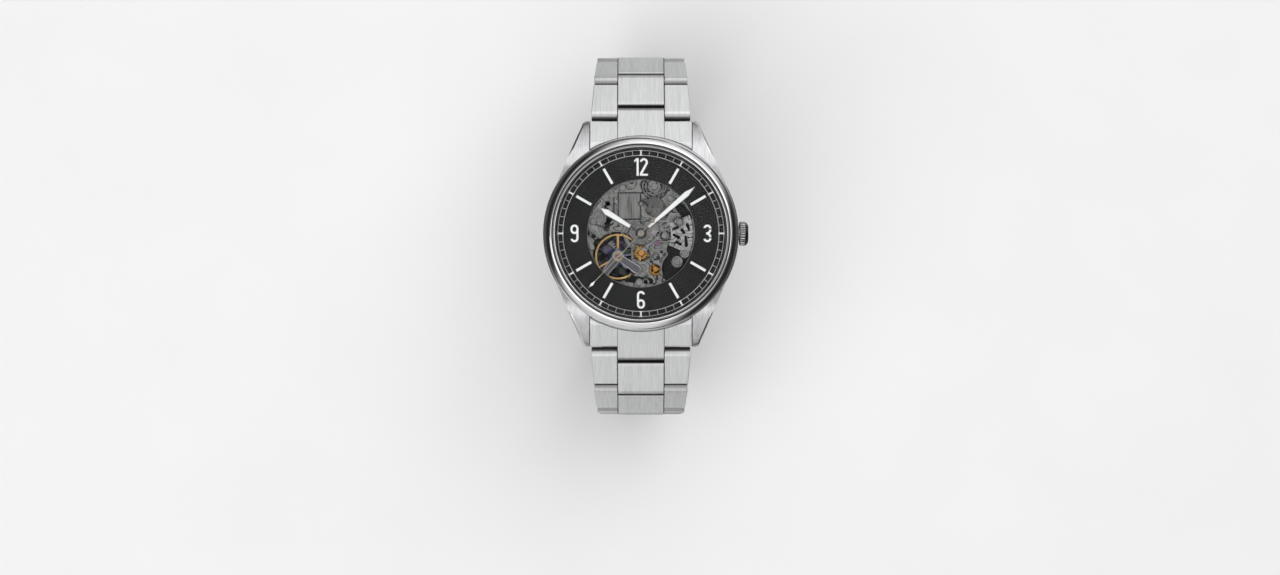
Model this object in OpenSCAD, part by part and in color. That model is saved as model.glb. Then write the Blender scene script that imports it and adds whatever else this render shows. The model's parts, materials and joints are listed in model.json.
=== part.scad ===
// Skeleton automatic wristwatch on a closed three-row steel bracelet.
// Millimetres. +Z is out of the dial, +Y is twelve o'clock, +X is the crown.
// The origin is the middle of the wrist opening, on the wrist's axis (X).

/* [Case] */
// Case diameter without the crown
case_d = 41.8; // [38:0.1:44]
// Length of the lugs beyond the case
lug_reach = 3.3; // [2.8:0.1:5]
// Clear width between the lugs
lug_gap = 22; // [20:0.5:24]
// Height of the case band
band_h = 7.8; // [7:0.1:9]
// Thickness of the case's wall around the bore that holds the movement
case_wall = 2.7; // [2.4:0.05:3.3]
// Height of the bezel above the case band
bezel_h = 1.9; // [1.4:0.1:2.4]
// Thickness of the crystal
crystal_t = 1.3; // [0.8:0.1:2]
// Rise of the crystal's dome
crystal_dome = 0.5; // [0.2:0.1:1]
// Thickness of the case back
back_t = 1.2; // [1:0.1:1.8]
// Diameter of the crown
crown_d = 5.2; // [4:0.1:6]
// Length of the crown's head
crown_l = 1.9; // [1.5:0.1:3]

/* [Dial] */
// Width of the dial's band, from its opening to the bore
dial_band = 6.8; // [6.2:0.1:8]
// Thickness of the dial
dial_t = 0.4; // [0.3:0.05:0.6]
// Width of the flange between the minute track and the bore
flange_w = 0.5; // [0.45:0.05:1]
// Width of the minute track
track_w = 1.2; // [0.8:0.1:1.6]
// Distance from the outside of the minute track to the middles of the figures
figure_inset = 3.6; // [3.3:0.1:4.2]
// Height of the figures
figure_h = 3.8; // [3:0.1:4.2]
// Distance from the outside of the minute track to the inner ends of the hour batons
baton_inset = 5.55; // [5:0.05:5.9]
// Length of the hour batons
baton_l = 3.7; // [2.5:0.1:4]

/* [Hands] */
// Distance from the outside of the minute track to the tip of the hour hand
hour_inset = 7.5; // [6:0.1:9]
// Distance from the outside of the minute track to the tip of the minute hand
minute_inset = 2.5; // [1.7:0.1:5]
// Distance from the outside of the minute track to the tip of the seconds hand
second_inset = 1.5; // [0.7:0.1:4]
// Minutes past ten that the minute hand shows
shown_minutes = 8.2; // [0:0.1:50]
// Seconds that the seconds hand shows
shown_seconds = 37.3; // [0:0.1:59]
// Degrees by which the hour hand is fitted behind its exact place
hour_lag = 2.2; // [0:0.1:4]

/* [Movement] */
// Radius of the main plate
plate_r = 13.2; // [13:0.1:14]
// Thickness of the main plate
plate_t = 1.3; // [1.2:0.05:1.4]
// Radius of the balance wheel
balance_r = 4.9; // [4.5:0.05:5]
// Width of the balance wheel's rim
balance_rim = 0.42; // [0.3:0.02:0.6]
// Radius of the rotor
rotor_r = 12.6; // [11:0.1:13]

/* [Bracelet] */
// Distance between two neighbouring hinge pins
pitch = 8.5; // [8:0.1:9]
// Thickness of the middle row
link_t = 3.0; // [2.6:0.1:3.2]
// Width of the middle row
middle_w = 10.0; // [8:0.1:11]
// Width of the bracelet at the clasp
clasp_w = 18.0; // [17.4:0.1:20]
// Diameter of the hinge pins
pin_d = 1.2; // [0.9:0.05:1.4]
// Gap between a rounded end and the piece that faces it
link_gap = 0.12; // [0.08:0.01:0.2]
// Distance between the two pins that the clasp hangs on
clasp_span = 28.4; // [26:0.2:32]
// Downward slope of the first link, in degrees
first_slope = 30; // [24:1:34]

/* [Hidden] */
$fn = 64;
LINKS = 7;

// ---- clearances ----
run_gap = 0.06;      // a pin in the hole that turns on it
fit_gap = 0.02;      // a pin in the hole that holds it
seat_gap = 0.1;      // a ring in its seat
face_gap = 0.05;     // faces that lie on each other
pin_r = pin_d / 2;
band_w = lug_gap - 0.8;  // first link, a little narrower than the end link

// ---- heights in the head, measured from the top of the dial ----
case_r = case_d / 2;
lug_span = case_d + 2 * lug_reach;
bore_r = case_r - case_wall;
opening_r = bore_r - dial_band;
track_r = bore_r - flange_w;
band_top = 0.6;
band_bottom = band_top - band_h;
crystal_seat = 1.75;
plate_top = -dial_t - face_gap;
plate_bottom = plate_top - plate_t;
bridge_top = band_bottom + 2.5;
bridge_t = 0.8;
bridge_bottom = bridge_top - bridge_t;
stem_z = -3.1;
back_inner = band_bottom + 0.2;
back_bottom = band_bottom - back_t;

// ---- the bracelet's closed line ----
link_r = link_t / 2;
side_r = link_r - 0.1;
end_pin_y = lug_span / 2 + 1.5;
end_pin_z = -5.8;
// Slope of link i, from 1 at the end link to LINKS at the clasp, where the line lies level
function slope(i, k) = 180 - (180 - first_slope) * pow((LINKS - i + 1) / LINKS, k);
// Place of pin i on the line, where pin 0 is the end link's
function pin_y(i, k) = i == 0 ? end_pin_y : pin_y(i - 1, k) + pitch * cos(slope(i, k));
function pin_z(i, k) = i == 0 ? end_pin_z : pin_z(i - 1, k) - pitch * sin(slope(i, k));
// The fullness that brings pin LINKS to half the clasp's span
function solve(lo, hi, n) = let(mid = (lo + hi) / 2)
    n == 0 ? mid : pin_y(LINKS, mid) > clasp_span / 2 ? solve(mid, hi, n - 1) : solve(lo, mid, n - 1);
fullness = solve(0.6, 2.6, 40);
clasp_z = pin_z(LINKS, fullness);
blade_t = 0.8;
inner_blade_z = clasp_z + 0.5;
wrist_top = back_bottom;
wrist_bottom = inner_blade_z + blade_t;
// The head stands this far above the wrist's axis
head_z = -(wrist_top + wrist_bottom) / 2;
// Width of the bracelet at a pin: it narrows over the first three links
TAPER_LINKS = 3;
function width_at(i) = band_w - (band_w - clasp_w) * min(i, TAPER_LINKS) / TAPER_LINKS;

// ---- places in the movement ----
tooth = 0.11;
centre_r = 3.6;
balance_at = [-4.9, -4.9];
escape_at = [0.1, -4.1];
fork_at = [-1.75, -4.35];
barrel_at = [0, 6.3];
third_r = 4.05;
third_at = third_r * [cos(-30), sin(-30)];
minute_at = 20 * tooth * [cos(25), sin(25)];
crown_wheel_at = [6.1, 5.1];
reversing_at = [3.1, -7.5];
plate_screw_r = 10.4;
screw_at = [for (a = [74, 112, 166, 268]) plate_screw_r * [cos(a), sin(a)]];
centre_z = -3.75;
third_z = -4.1;
fourth_z = -4.45;
balance_z = -2.3;
escape_z = -3.0;

// ================= shared shapes =================
// Points of a curve that leaves a towards b and ends at c
function bend(a, b, c, n = 8) = [for (i = [0:n]) let(t = i / n)
    (1 - t) * (1 - t) * a + 2 * t * (1 - t) * b + t * t * c];

module at_head() { translate([0, 0, head_z]) children(); }

module ring(r_out, r_in, h) {
    difference() {
        cylinder(r = r_out, h = h, $fn = 128);
        translate([0, 0, -1]) cylinder(r = r_in, h = h + 2, $fn = 128);
    }
}

// A cylinder along X, centred on the origin
module bar(r, l) { rotate([0, 90, 0]) cylinder(r = r, h = l, center = true); }

// Extrudes a flat shape drawn in Y and Z along X, from x0 to x1
module along_x(x0, x1) {
    translate([x0, 0, 0]) rotate([90, 0, 90]) linear_extrude(x1 - x0) children();
}

// Flat toothed wheel with a module of m
module teeth(n, m = tooth, turn = 0) {
    pr = n * m / 2;
    tip = pr + 0.85 * m;
    root = pr - 1.1 * m;
    polygon([for (i = [0:n - 1], k = [0:3])
        let(a = turn + 360 / n * (i + [-0.3, -0.13, 0.13, 0.3][k]), r = [root, tip, tip, root][k])
        r * [cos(a), sin(a)]]);
}

// A wheel with spokes: teeth outside, a rim, arms and a hub
module wheel(n, m, h, arms = 4, hub = 0.7, bore = 0.2, rim = 0.5, arm_w = 0.32, turn = 0) {
    pr = n * m / 2;
    linear_extrude(h) difference() {
        union() {
            difference() {
                teeth(n, m, turn);
                circle(r = pr - 1.1 * m - rim);
            }
            circle(r = hub);
            for (i = [0:arms - 1]) rotate(turn + 360 / arms * i)
                translate([0, -arm_w / 2]) square([pr - 1.2 * m - rim / 2, arm_w]);
        }
        circle(r = bore);
    }
}

// ================= case =================
module band_profile() {
    mid = band_bottom + 0.62 * band_h;
    polygon(concat([[bore_r, band_bottom]],
        bend([case_r - 1.5, band_bottom], [case_r - 0.15, band_bottom + 1.2], [case_r, mid], 5),
        bend([case_r, mid], [case_r, band_top - 0.4], [case_r - 0.35, band_top], 3),
        [[bore_r, band_top]]));
}

// Outline of a pair of lugs from above, on the twelve o'clock side
lug_tip_w = 1.5;
module lug_plan() {
    tip_y = lug_span / 2;
    tip_x = lug_gap / 2 + lug_tip_w;
    root = (case_r - 0.25) * [cos(22), sin(22)];
    for (s = [0, 1]) mirror([s, 0]) polygon(concat([[lug_gap / 2, 9], root],
        bend([tip_x + 0.3, tip_y - 1.4], [tip_x, tip_y], [tip_x - 0.7, tip_y], 3),
        [[lug_gap / 2, tip_y]]));
}

// Side view of a lug: Y along the bracelet, Z up
module lug_side() {
    tip_y = lug_span / 2;
    polygon(concat([[8, band_top - 0.3]],
        bend([14.5, band_top - 0.3], [20.5, band_top - 0.9], [tip_y, -4.6], 8),
        bend([tip_y, -6.6], [tip_y, band_bottom - 0.5], [tip_y - 1.6, band_bottom - 0.5], 3),
        bend([20.5, band_bottom - 0.2], [18, band_bottom], [15, band_bottom], 3),
        [[8, band_bottom]]));
}

module case_middle() {
    color("silver") at_head() difference() {
        union() {
            rotate_extrude($fn = 180) band_profile();
            for (s = [0, 1]) mirror([0, s, 0]) intersection() {
                translate([0, 0, -12]) linear_extrude(16) lug_plan();
                along_x(-case_r, case_r) lug_side();
            }
        }
        translate([0, 0, band_bottom - 2]) cylinder(r = bore_r, h = band_h + 4, $fn = 180);
        for (s = [-1, 1]) translate([0, s * spring_bar_y, spring_bar_z])
            bar(spring_tip_r + fit_gap, lug_gap + 2 * spring_tip_l);
        translate([bore_r - 1, 0, stem_z]) rotate([0, 90, 0])
            cylinder(r = tube_r + fit_gap, h = case_wall + 3);
    }
}

bezel_foot_r = case_r - 0.2;
bezel_land_r = case_r - 1.75;
crystal_r = bore_r + 0.2;
gasket_w = 0.3;
module bezel() {
    top = band_top + bezel_h;
    color("gainsboro") at_head() rotate_extrude($fn = 180) polygon(concat(
        [[bore_r, band_top], [bezel_foot_r - 0.1, band_top]],
        bend([bezel_foot_r, band_top + 0.15], [bezel_foot_r - 0.1, band_top + 1.1],
             [bezel_land_r + 0.25, top - 0.1], 7),
        bend([bezel_land_r, top], [bezel_land_r - 0.2, top - 0.02],
             [crystal_r + gasket_w + 0.15, top - 0.25], 3),
        [[crystal_r + gasket_w, crystal_seat], [bore_r, crystal_seat]]));
}

module crystal() {
    rim_top = crystal_seat + crystal_t - 0.35;
    color("azure", 0.25) at_head() rotate_extrude($fn = 128) polygon(concat(
        [[0, crystal_seat + face_gap], [crystal_r, crystal_seat + face_gap], [crystal_r, rim_top]],
        [for (i = [0:8]) let(r = (crystal_r - 0.3) * (1 - i / 8))
            [r, rim_top + 0.15 + crystal_dome * (1 - pow(r / crystal_r, 2))]]));
}

back_neck_r = bore_r - seat_gap;
back_flange_r = case_r - 1.6;
window_r = 13.6;
window_t = 0.8;
o_ring_r = bore_r + 0.45;
module gaskets() {
    color("black") at_head() {
        translate([0, 0, crystal_seat + face_gap]) ring(crystal_r + gasket_w, crystal_r, crystal_t - 0.6);
        translate([0, 0, band_bottom - 0.25]) ring(o_ring_r + 0.2, o_ring_r - 0.2, 0.25);
    }
}

module rehaut_ring() {
    color("black") at_head() rotate_extrude($fn = 128) polygon([
        [track_r + 0.1, face_gap], [bore_r - face_gap, face_gap], [bore_r - face_gap, crystal_seat],
        [track_r + 0.35, crystal_seat]]);
}

notch_count = 6;
module case_back() {
    color("silver") at_head() difference() {
        union() {
            translate([0, 0, back_bottom]) cylinder(r = back_flange_r, h = back_t, $fn = 128);
            translate([0, 0, band_bottom]) cylinder(r = back_neck_r, h = 0.9, $fn = 128);
        }
        translate([0, 0, band_bottom - 0.25]) ring(o_ring_r + 0.2, o_ring_r - 0.2, 1);
        translate([0, 0, back_bottom - 1]) cylinder(r = window_r - 0.7, h = 4, $fn = 128);
        translate([0, 0, back_bottom + 0.25]) cylinder(r = window_r + face_gap, h = 4, $fn = 128);
        for (i = [0:notch_count - 1]) rotate(360 / notch_count * i)
            translate([back_flange_r - 2.7, -0.9, back_bottom - 1]) cube([1.6, 1.8, 1.55]);
    }
}

module case_back_window() {
    color("azure", 0.3) at_head() translate([0, 0, back_bottom + 0.25 + face_gap])
        cylinder(r = window_r, h = window_t, $fn = 128);
}

tube_r = 1.15;
stem_r = 0.45;
module crown_tube() {
    color("silver") at_head() translate([0, 0, stem_z]) rotate([0, 90, 0]) translate([0, 0, bore_r - 0.6])
        difference() {
            cylinder(r = tube_r, h = case_wall + 0.7);
            translate([0, 0, -1]) cylinder(r = stem_r + run_gap, h = case_wall + 3);
        }
}

spring_bar_r = 0.75;
spring_bar_gap = 0.25;   // between the bar and the case
spring_bar_y = case_r + spring_bar_gap + spring_bar_r;
spring_bar_z = -5.4;
spring_tip_r = 0.4;
spring_tip_l = 0.8;
module lug_spring_bars() {
    color("dimgray") at_head() for (s = [-1, 1]) translate([0, s * spring_bar_y, spring_bar_z]) {
        bar(spring_bar_r, lug_gap - 1.2);
        bar(spring_tip_r, lug_gap + 2 * spring_tip_l - 0.1);
        for (t = [-1, 1]) translate([t * (lug_gap / 2 - 1.6), 0, 0]) bar(spring_bar_r + 0.1, 0.3);
    }
}

// ================= dial =================
module dial() {
    color([0.08, 0.08, 0.08]) at_head() translate([0, 0, -dial_t])
        ring(bore_r - seat_gap, opening_r, dial_t);
}

marker_t = 0.3;
track_t = 0.04;
stroke = 0.5;
figure_w = 1.75;
line_w = 0.14;

// Part of a flat ring of one stroke's width, r outside, from one angle to another
module arc(r, from, to, n = 12) {
    polygon(concat(
        [for (i = [0:n]) let(a = from + (to - from) * i / n) r * [cos(a), sin(a)]],
        [for (i = [n:-1:0]) let(a = from + (to - from) * i / n) (r - stroke) * [cos(a), sin(a)]]));
}

module figure_one() {
    top = figure_h / 2;
    polygon([[0, -top], [stroke, -top], [stroke, top], [0, top], [-0.5, top - 0.45], [-0.5, top - 0.95],
        [0, top - 0.6]]);
}

module figure_two() {
    r = figure_w / 2;
    low = -figure_h / 2;
    translate([0, -low - r]) arc(r, 0, 175);
    polygon([[r - stroke, -low - r], [r, -low - r + 0.02], [r, -low - r - 0.25],
        [-r + 0.6, low + stroke - 0.02], [r, low + stroke - 0.02], [r, low], [-r, low],
        [-r, low + stroke + 0.05], [r - stroke, -low - r - 0.15]]);
}

module figure_three() {
    r = figure_w / 2;
    low = (figure_h / 2 + stroke / 2) / 2;
    for (s = [0, 1]) mirror([0, s]) {
        translate([0, figure_h / 2 - r]) arc(r, 0, 170);
        translate([r - low, stroke / 2 - low]) mirror([0, 1]) arc(low, 270, 360);
        translate([-0.3, -stroke / 2]) square([0.35 + r - low, stroke]);
    }
}

module figure_six() {
    r = figure_w / 2;
    bowl = 0.3;
    translate([0, figure_h / 2 - r]) arc(r, 10, 180);
    translate([-r, r - figure_h / 2 - 0.02]) square([stroke, figure_h - 2 * r + 0.04]);
    translate([0, r - figure_h / 2]) arc(r, 180, 360);
    translate([r - stroke, r - figure_h / 2 - 0.02]) square([stroke, bowl + 0.04]);
    translate([0, r - figure_h / 2 + bowl]) arc(r, 0, 175);
}

// Places a figure upright at the clock angle a
module on_dial(a) { translate((track_r - figure_inset) * [sin(a), cos(a)]) children(); }

module dial_markers() {
    color("white") at_head() {
        linear_extrude(marker_t) {
            on_dial(0) translate([-0.95, 0]) figure_one();
            on_dial(0) translate([0.62, 0]) figure_two();
            on_dial(90) figure_three();
            on_dial(180) figure_six();
            on_dial(270) rotate(180) figure_six();
        }
        for (h = [1:11]) if (h % 3 != 0) rotate(-30 * h)
            translate([-0.3, track_r - baton_inset, 0]) cube([0.6, baton_l, marker_t]);
        for (r = [track_r, track_r - track_w + line_w]) ring(r, r - line_w, track_t);
        for (m = [0:59]) rotate(-6 * m) let(w = m % 5 == 0 ? 0.34 : 0.13)
            translate([-w / 2, track_r - track_w + line_w / 2, 0]) cube([w, track_w - line_w, track_t]);
    }
}

module movement_ring() {
    color([0.12, 0.12, 0.13]) at_head() difference() {
        translate([0, 0, back_inner + 0.75])
            ring(bore_r - face_gap, plate_r + face_gap, plate_top - back_inner - 0.75);
        translate([plate_r - 1, 0, stem_z]) rotate([0, 90, 0])
            cylinder(r = tube_r + 0.1, h = bore_r - plate_r + 2);
    }
}

// ================= crown and stem =================
module at_stem() { at_head() translate([0, 0, stem_z]) rotate([0, 90, 0]) children(); }

flutes = 28;
flute_r = 0.24;
crown_x = case_r + 0.12;
crown_bore_l = 0.9;
crown_edge = 0.25;
crown_dome = 0.8;
module crown() {
    color("silver") at_stem() difference() {
        translate([0, 0, crown_x]) rotate_extrude() polygon([[0, 0], [crown_d / 2 - crown_edge, 0],
            [crown_d / 2, crown_edge], [crown_d / 2, crown_l - crown_dome],
            [crown_d / 2 - 0.25, crown_l - 0.35], [crown_d / 2 - crown_dome, crown_l], [0, crown_l]]);
        translate([0, 0, crown_x - 1]) cylinder(r = tube_r + 0.15, h = 1 + crown_bore_l);
        for (i = [0:flutes - 1]) rotate(360 / flutes * (i + 0.5))
            translate([crown_d / 2 + 0.1, 0, crown_x - 0.1])
                cylinder(r = flute_r, h = crown_l - 0.15, $fn = 16);
    }
}

stem_tip_x = 8.3;
pinion_x = 8.5;
lever_x = 11.2;
lever_pivot_y = -3.2;
lever_z = plate_bottom - 0.35;
module winding_stem() {
    color("silver") at_stem() {
        difference() {
            translate([0, 0, stem_tip_x]) cylinder(r = stem_r, h = crown_x + crown_bore_l - stem_tip_x);
            translate([0, 0, lever_x - 0.25]) ring(1, stem_r - 0.18, 0.5);
        }
        translate([0, 0, pinion_x]) linear_extrude(0.8) difference() {
            teeth(13, 0.13);
            circle(r = stem_r + fit_gap);
        }
        translate([0, 0, pinion_x + 0.95]) linear_extrude(1) difference() {
            teeth(12, 0.12);
            circle(r = stem_r + fit_gap);
        }
    }
}

// Its nib sits in the stem's groove
module setting_lever() {
    color("lightgray") at_head() {
        translate([0, 0, lever_z]) linear_extrude(0.3) difference() {
            union() {
                translate([lever_x, 0]) circle(r = 0.5);
                translate([lever_x - 0.4, lever_pivot_y]) square([0.8, -lever_pivot_y]);
                translate([lever_x, lever_pivot_y]) circle(r = 0.6);
            }
            translate([lever_x, lever_pivot_y]) circle(r = 0.25);
        }
        translate([lever_x, 0, stem_z + stem_r - 0.1])
            cylinder(r = 0.17, h = lever_z - stem_z - stem_r + 0.1);
    }
}

// Plate over the keyless works, seen at three o'clock
cover_in_r = 6.3;
cover_sheet_t = 0.25;
cover_z = plate_top + face_gap / 2;
cover_screws = [[8.2, 2.4], [9.3, -4.2]];
// Slots between the cover's arms, each wider by the same amount on every side
module cover_slots(grow = 0) {
    hulled_arm([6.95, 0.95], [7.75, 1.3], 0.24 + grow, 0.3 + grow);
    hulled_arm([8.7, 0.75], [9.1, 0.2], 0.26 + grow, 0.26 + grow);
    hulled_arm([9.85, 1.9], [10.2, 0.8], 0.28 + grow, 0.2 + grow);
    hulled_arm([7.0, -0.3], [7.95, -0.8], 0.22 + grow, 0.3 + grow);
    hulled_arm([9.5, -0.7], [9.65, -2.5], 0.2 + grow, 0.32 + grow);
    hulled_arm([7.5, -1.8], [8.4, -2.3], 0.2 + grow, 0.24 + grow);
}
module keyless_cover() {
    color([0.6, 0.6, 0.6]) at_head() translate([0, 0, cover_z]) linear_extrude(cover_sheet_t) difference() {
        union() {
            intersection() {
                difference() {
                    circle(r = opening_r - 0.3, $fn = 128);
                    circle(r = cover_in_r);
                }
                polygon([[0, 0], [12, 4.6], [14, 0], [12, -5.2]]);
            }
            translate(cover_screws[1]) circle(r = 1.0);
        }
        for (p = cover_screws) translate(p) circle(r = screw_r + face_gap);
        cover_slots();
    }
}

// ================= movement: plates and bridges =================
// Windows that let the wheels show through the main plate
open_at = [8.6, -7.6];
boss_at = [7.7, -6.0];
rim_boss_at = [1.0, -10.3];
module plate_windows() {
    // balance
    intersection() {
        translate(balance_at) circle(r = balance_r + 0.35);
        translate([-14, -14]) square([11.9, 14.3]);
    }
    // escape wheel, behind the arm that holds its jewel
    difference() {
        translate(escape_at) circle(r = 1.8);
        hulled_arm(escape_at, escape_at + [1.3, 1.3], 0.75, 0.5);
    }
    // barrel, seen past the block that covers it
    difference() {
        translate(barrel_at + [2.9, -0.6]) circle(r = 2.1);
        translate(barrel_at) circle(r = 1.6);
    }
    // gilt wheel at half past five
    translate([2.95, -7.7]) circle(r = 1.25);
    for (p = [[4.4, -3.9], [2.2, -6.0], [4.4, 3.7], [3.4, -9.6]]) translate(p) circle(r = 0.28);
    translate(rim_boss_at) circle(r = 0.4);
    // gap outside the balance, towards nine o'clock
    translate([-8.9, -2.2]) circle(r = 1.1);
    // slots at ten and nine o'clock
    for (a = [138, 145]) rotate(a) translate([9.5, 0]) circle(r = 0.5);
    rotate(183) translate([10.1, 0]) circle(r = 0.45);
    for (a = [156, 164, 172]) rotate(a) translate([7.4, 0]) circle(r = 0.6);
}

// Sunk dark ground at four, two and six o'clock, around the two bosses, and under the cover's slots
ground_depth = 0.8;
module sunk_ground() {
    difference() {
        union() {
            translate(open_at) circle(r = 4.1);
            hulled_arm([6.6, -3.3], open_at, 1.1, 2);
            hulled_arm([8.3, 5.6], [9.9, 3.7], 0.9, 1.0);
            cover_slots(0.15);
            hulled_arm([-2.9, -9.6], [2.0, -10.1], 0.75, 0.6);
        }
        translate(boss_at) circle(r = 1.25);
        translate(rim_boss_at) circle(r = 0.8);
        translate(screw_at[3]) circle(r = screw_r + 0.25);
        translate(cover_screws[1]) circle(r = 1.1);
        difference() { circle(r = plate_r + 1, $fn = 128); circle(r = plate_r - 0.9, $fn = 128); }
    }
}

// Lines cut round the brushed block over the barrel, round the screw beside it, along the sunk
// ground, beside the cover and at the left
block_at = [-4.9, 2.95];
block_size = [4.9, 5.75];
ring_at = screw_at[0];
module engraving() {
    difference() {
        translate(block_at) square(block_size);
        translate(block_at + [0.16, 0.16]) square(block_size - [0.32, 0.32]);
    }
    for (r = [1.7, 2.3, 2.9]) translate(ring_at) difference() {
        circle(r = r);
        circle(r = r - 0.28);
    }
    translate([5.2, -0.5]) difference() {
        circle(r = 1.1);
        circle(r = 0.85);
    }
    translate(open_at) difference() {
        sector(4.85, 135, 163);
        circle(r = 4.6);
    }
    translate([3.2, -4.9]) difference() {
        circle(r = 0.75);
        circle(r = 0.5);
    }
    hulled_arm([4.9, 1.2], [5.7, 1.25], 0.1, 0.1);
    hulled_arm([4.6, 2.0], [5.4, 2.3], 0.1, 0.1);
    hulled_arm([5.1, 3.4], [5.9, 4.2], 0.1, 0.1);
    bend_at = [-7.4, 1.2];
    hulled_arm([-5.75, 4.1], [-5.75, 7.6], 0.1, 0.1);
    hulled_arm([-10.8, 2.2], bend_at, 0.1, 0.1);
    hulled_arm(bend_at, [-5.9, 2.1], 0.1, 0.1);
}

module main_plate() {
    color([0.42, 0.42, 0.43]) at_head() difference() {
        translate([0, 0, plate_bottom]) cylinder(r = plate_r, h = plate_t, $fn = 128);
        translate([0, 0, plate_bottom - 1]) linear_extrude(plate_t + 2) plate_windows();
        translate([0, 0, plate_bottom - 1]) cylinder(r = 0.9, h = 4);
        for (p = [barrel_at, escape_at, third_at, minute_at, boss_at])
            translate([p[0], p[1], plate_bottom - 1]) cylinder(r = jewel_r + fit_gap, h = plate_t + 2);
        translate([0, 0, plate_top - 0.32]) linear_extrude(1) {
            circle(r = 2.6);
            translate(minute_at) circle(r = 2.0);
        }
        translate([0, 0, cock_z - face_gap]) linear_extrude(2) cock_outline(face_gap);
        translate([0, 0, plate_top - ground_depth]) linear_extrude(2) sunk_ground();
        translate([0, 0, plate_top - 0.15]) linear_extrude(1) engraving();
        for (p = screw_at) translate([p[0], p[1], plate_top - 0.4]) cylinder(r = screw_r + face_gap, h = 1);
        for (p = cover_screws) translate([p[0], p[1], plate_top - 0.4]) cylinder(r = 0.35, h = 1);
    }
}

// Sector of a disc of radius r between two angles
module sector(r, from, to) {
    intersection() {
        circle(r = r, $fn = 128);
        polygon(concat([[0, 0]],
            [for (i = [0:8]) let(a = from + (to - from) * i / 8) 2 * r * [cos(a), sin(a)]]));
    }
}

post_r = 0.75;
bridge_edge_r = plate_r - 1.2;
barrel_posts = [for (a = [20, 160]) 11.2 * [cos(a), sin(a)]];
train_posts = [for (a = [-30, -60, 184]) 11.2 * [cos(a), sin(a)]];
module posts(places) {
    for (p = places) translate([p[0], p[1], bridge_top]) cylinder(r = post_r, h = plate_bottom - bridge_top);
}

module barrel_bridge() {
    color([0.5, 0.5, 0.5]) at_head() {
        translate([0, 0, bridge_bottom]) linear_extrude(bridge_t) difference() {
            translate([0, 0.9]) sector(bridge_edge_r, 2, 178);
            circle(r = 1.4);
            translate(barrel_at) circle(r = ratchet_post_r + run_gap);
            translate(crown_wheel_at) circle(r = ratchet_post_r + run_gap);
            for (a = [65, 148]) rotate(a) translate([10.0, 0]) circle(r = 0.9);
        }
        posts(barrel_posts);
    }
}

module train_bridge() {
    color([0.5, 0.5, 0.5]) at_head() {
        translate([0, 0, bridge_bottom]) linear_extrude(bridge_t) difference() {
            union() {
                translate([0, -0.9]) sector(bridge_edge_r, -82, -2);
                circle(r = 1.35);
                translate([-1.3, -6.4]) square([4, 6.3]);
                hulled_arm([0, -4], balance_at, 1.4, 1.2);
                hulled_arm(balance_at, train_posts[2], 1.0, 1.2);
            }
            for (p = [[0, 0], third_at, escape_at, fork_at, balance_at])
                translate(p) circle(r = jewel_r + fit_gap);
            translate(reversing_at) circle(r = reversing_post_r + run_gap);
            translate([7.9, -5.0]) circle(r = 1.3);
        }
        posts(train_posts);
    }
}

// A straight arm from a to b that goes from half width w0 to w1, with round ends
module hulled_arm(a, b, w0, w1) {
    d = b - a;
    l = norm(d);
    translate(a) rotate(atan2(d[1], d[0])) {
        polygon([[0, -w0], [l, -w1], [l, w1], [0, w0]]);
        circle(r = w0);
        translate([l, 0]) circle(r = w1);
    }
}

// The bridge over the balance, sunk into the main plate on the dial side
cock_t = 0.4;
cock_z = plate_top - face_gap - cock_t;
cock_foot = 12.0 * [cos(228), sin(228)];
cock_heel = [-0.9, -7.6];
module cock_outline(grow = 0) {
    translate(balance_at) circle(r = 1.3 + grow);
    hulled_arm(balance_at, cock_foot, 1.0 + grow, 0.8 + grow);
    hulled_arm(balance_at, cock_heel, 0.7 + grow, 0.9 + grow);
}

module balance_bridge() {
    color("silver") at_head() translate([0, 0, cock_z]) linear_extrude(cock_t) difference() {
        cock_outline();
        translate(balance_at) circle(r = jewel_r + fit_gap);
    }
}

jewel_r = 0.55;
jewel_t = 0.3;
pivot_r = 0.12;
module jewel(p, z, r = pivot_r) {
    translate([p[0], p[1], z]) difference() {
        cylinder(r = jewel_r, h = jewel_t);
        translate([0, 0, -1]) cylinder(r = r + fit_gap, h = jewel_t + 2);
    }
}

module jewels() {
    color("crimson") at_head() {
        for (p = [escape_at, third_at]) jewel(p, plate_top - jewel_t);
        jewel(balance_at, cock_z + cock_t - jewel_t);
        for (p = [escape_at, third_at, fork_at, balance_at]) jewel(p, bridge_bottom + 0.1);
        jewel([0, 0], bridge_bottom + 0.1, arbor_r);
        jewel(boss_at, plate_top - jewel_t);
    }
}

// A screw head with its slot, facing up, with its top at z = 0
screw_r = 0.62;
module screw(h = 0.35, turn = 30) {
    difference() {
        translate([0, 0, -h]) cylinder(r = screw_r, h = h);
        rotate(turn) translate([-screw_r - 1, -0.09, -0.16]) cube([2 * screw_r + 2, 0.18, 1]);
    }
}

module plate_screws() {
    color("silver") at_head() {
        for (p = screw_at) translate([p[0], p[1], plate_top - face_gap]) screw(turn = 7 * p[0]);
        for (p = cover_screws) translate([p[0], p[1], cover_z + cover_sheet_t]) {
            screw(h = 0.25, turn = 9 * p[0]);
            translate([0, 0, -0.6]) cylinder(r = 0.3, h = 0.35);
        }
        for (p = concat(barrel_posts, train_posts)) translate([p[0], p[1], bridge_bottom]) mirror([0, 0, 1])
            translate([0, 0, 0.25]) screw(h = 0.25, turn = 5 * p[1]);
    }
}

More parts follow.
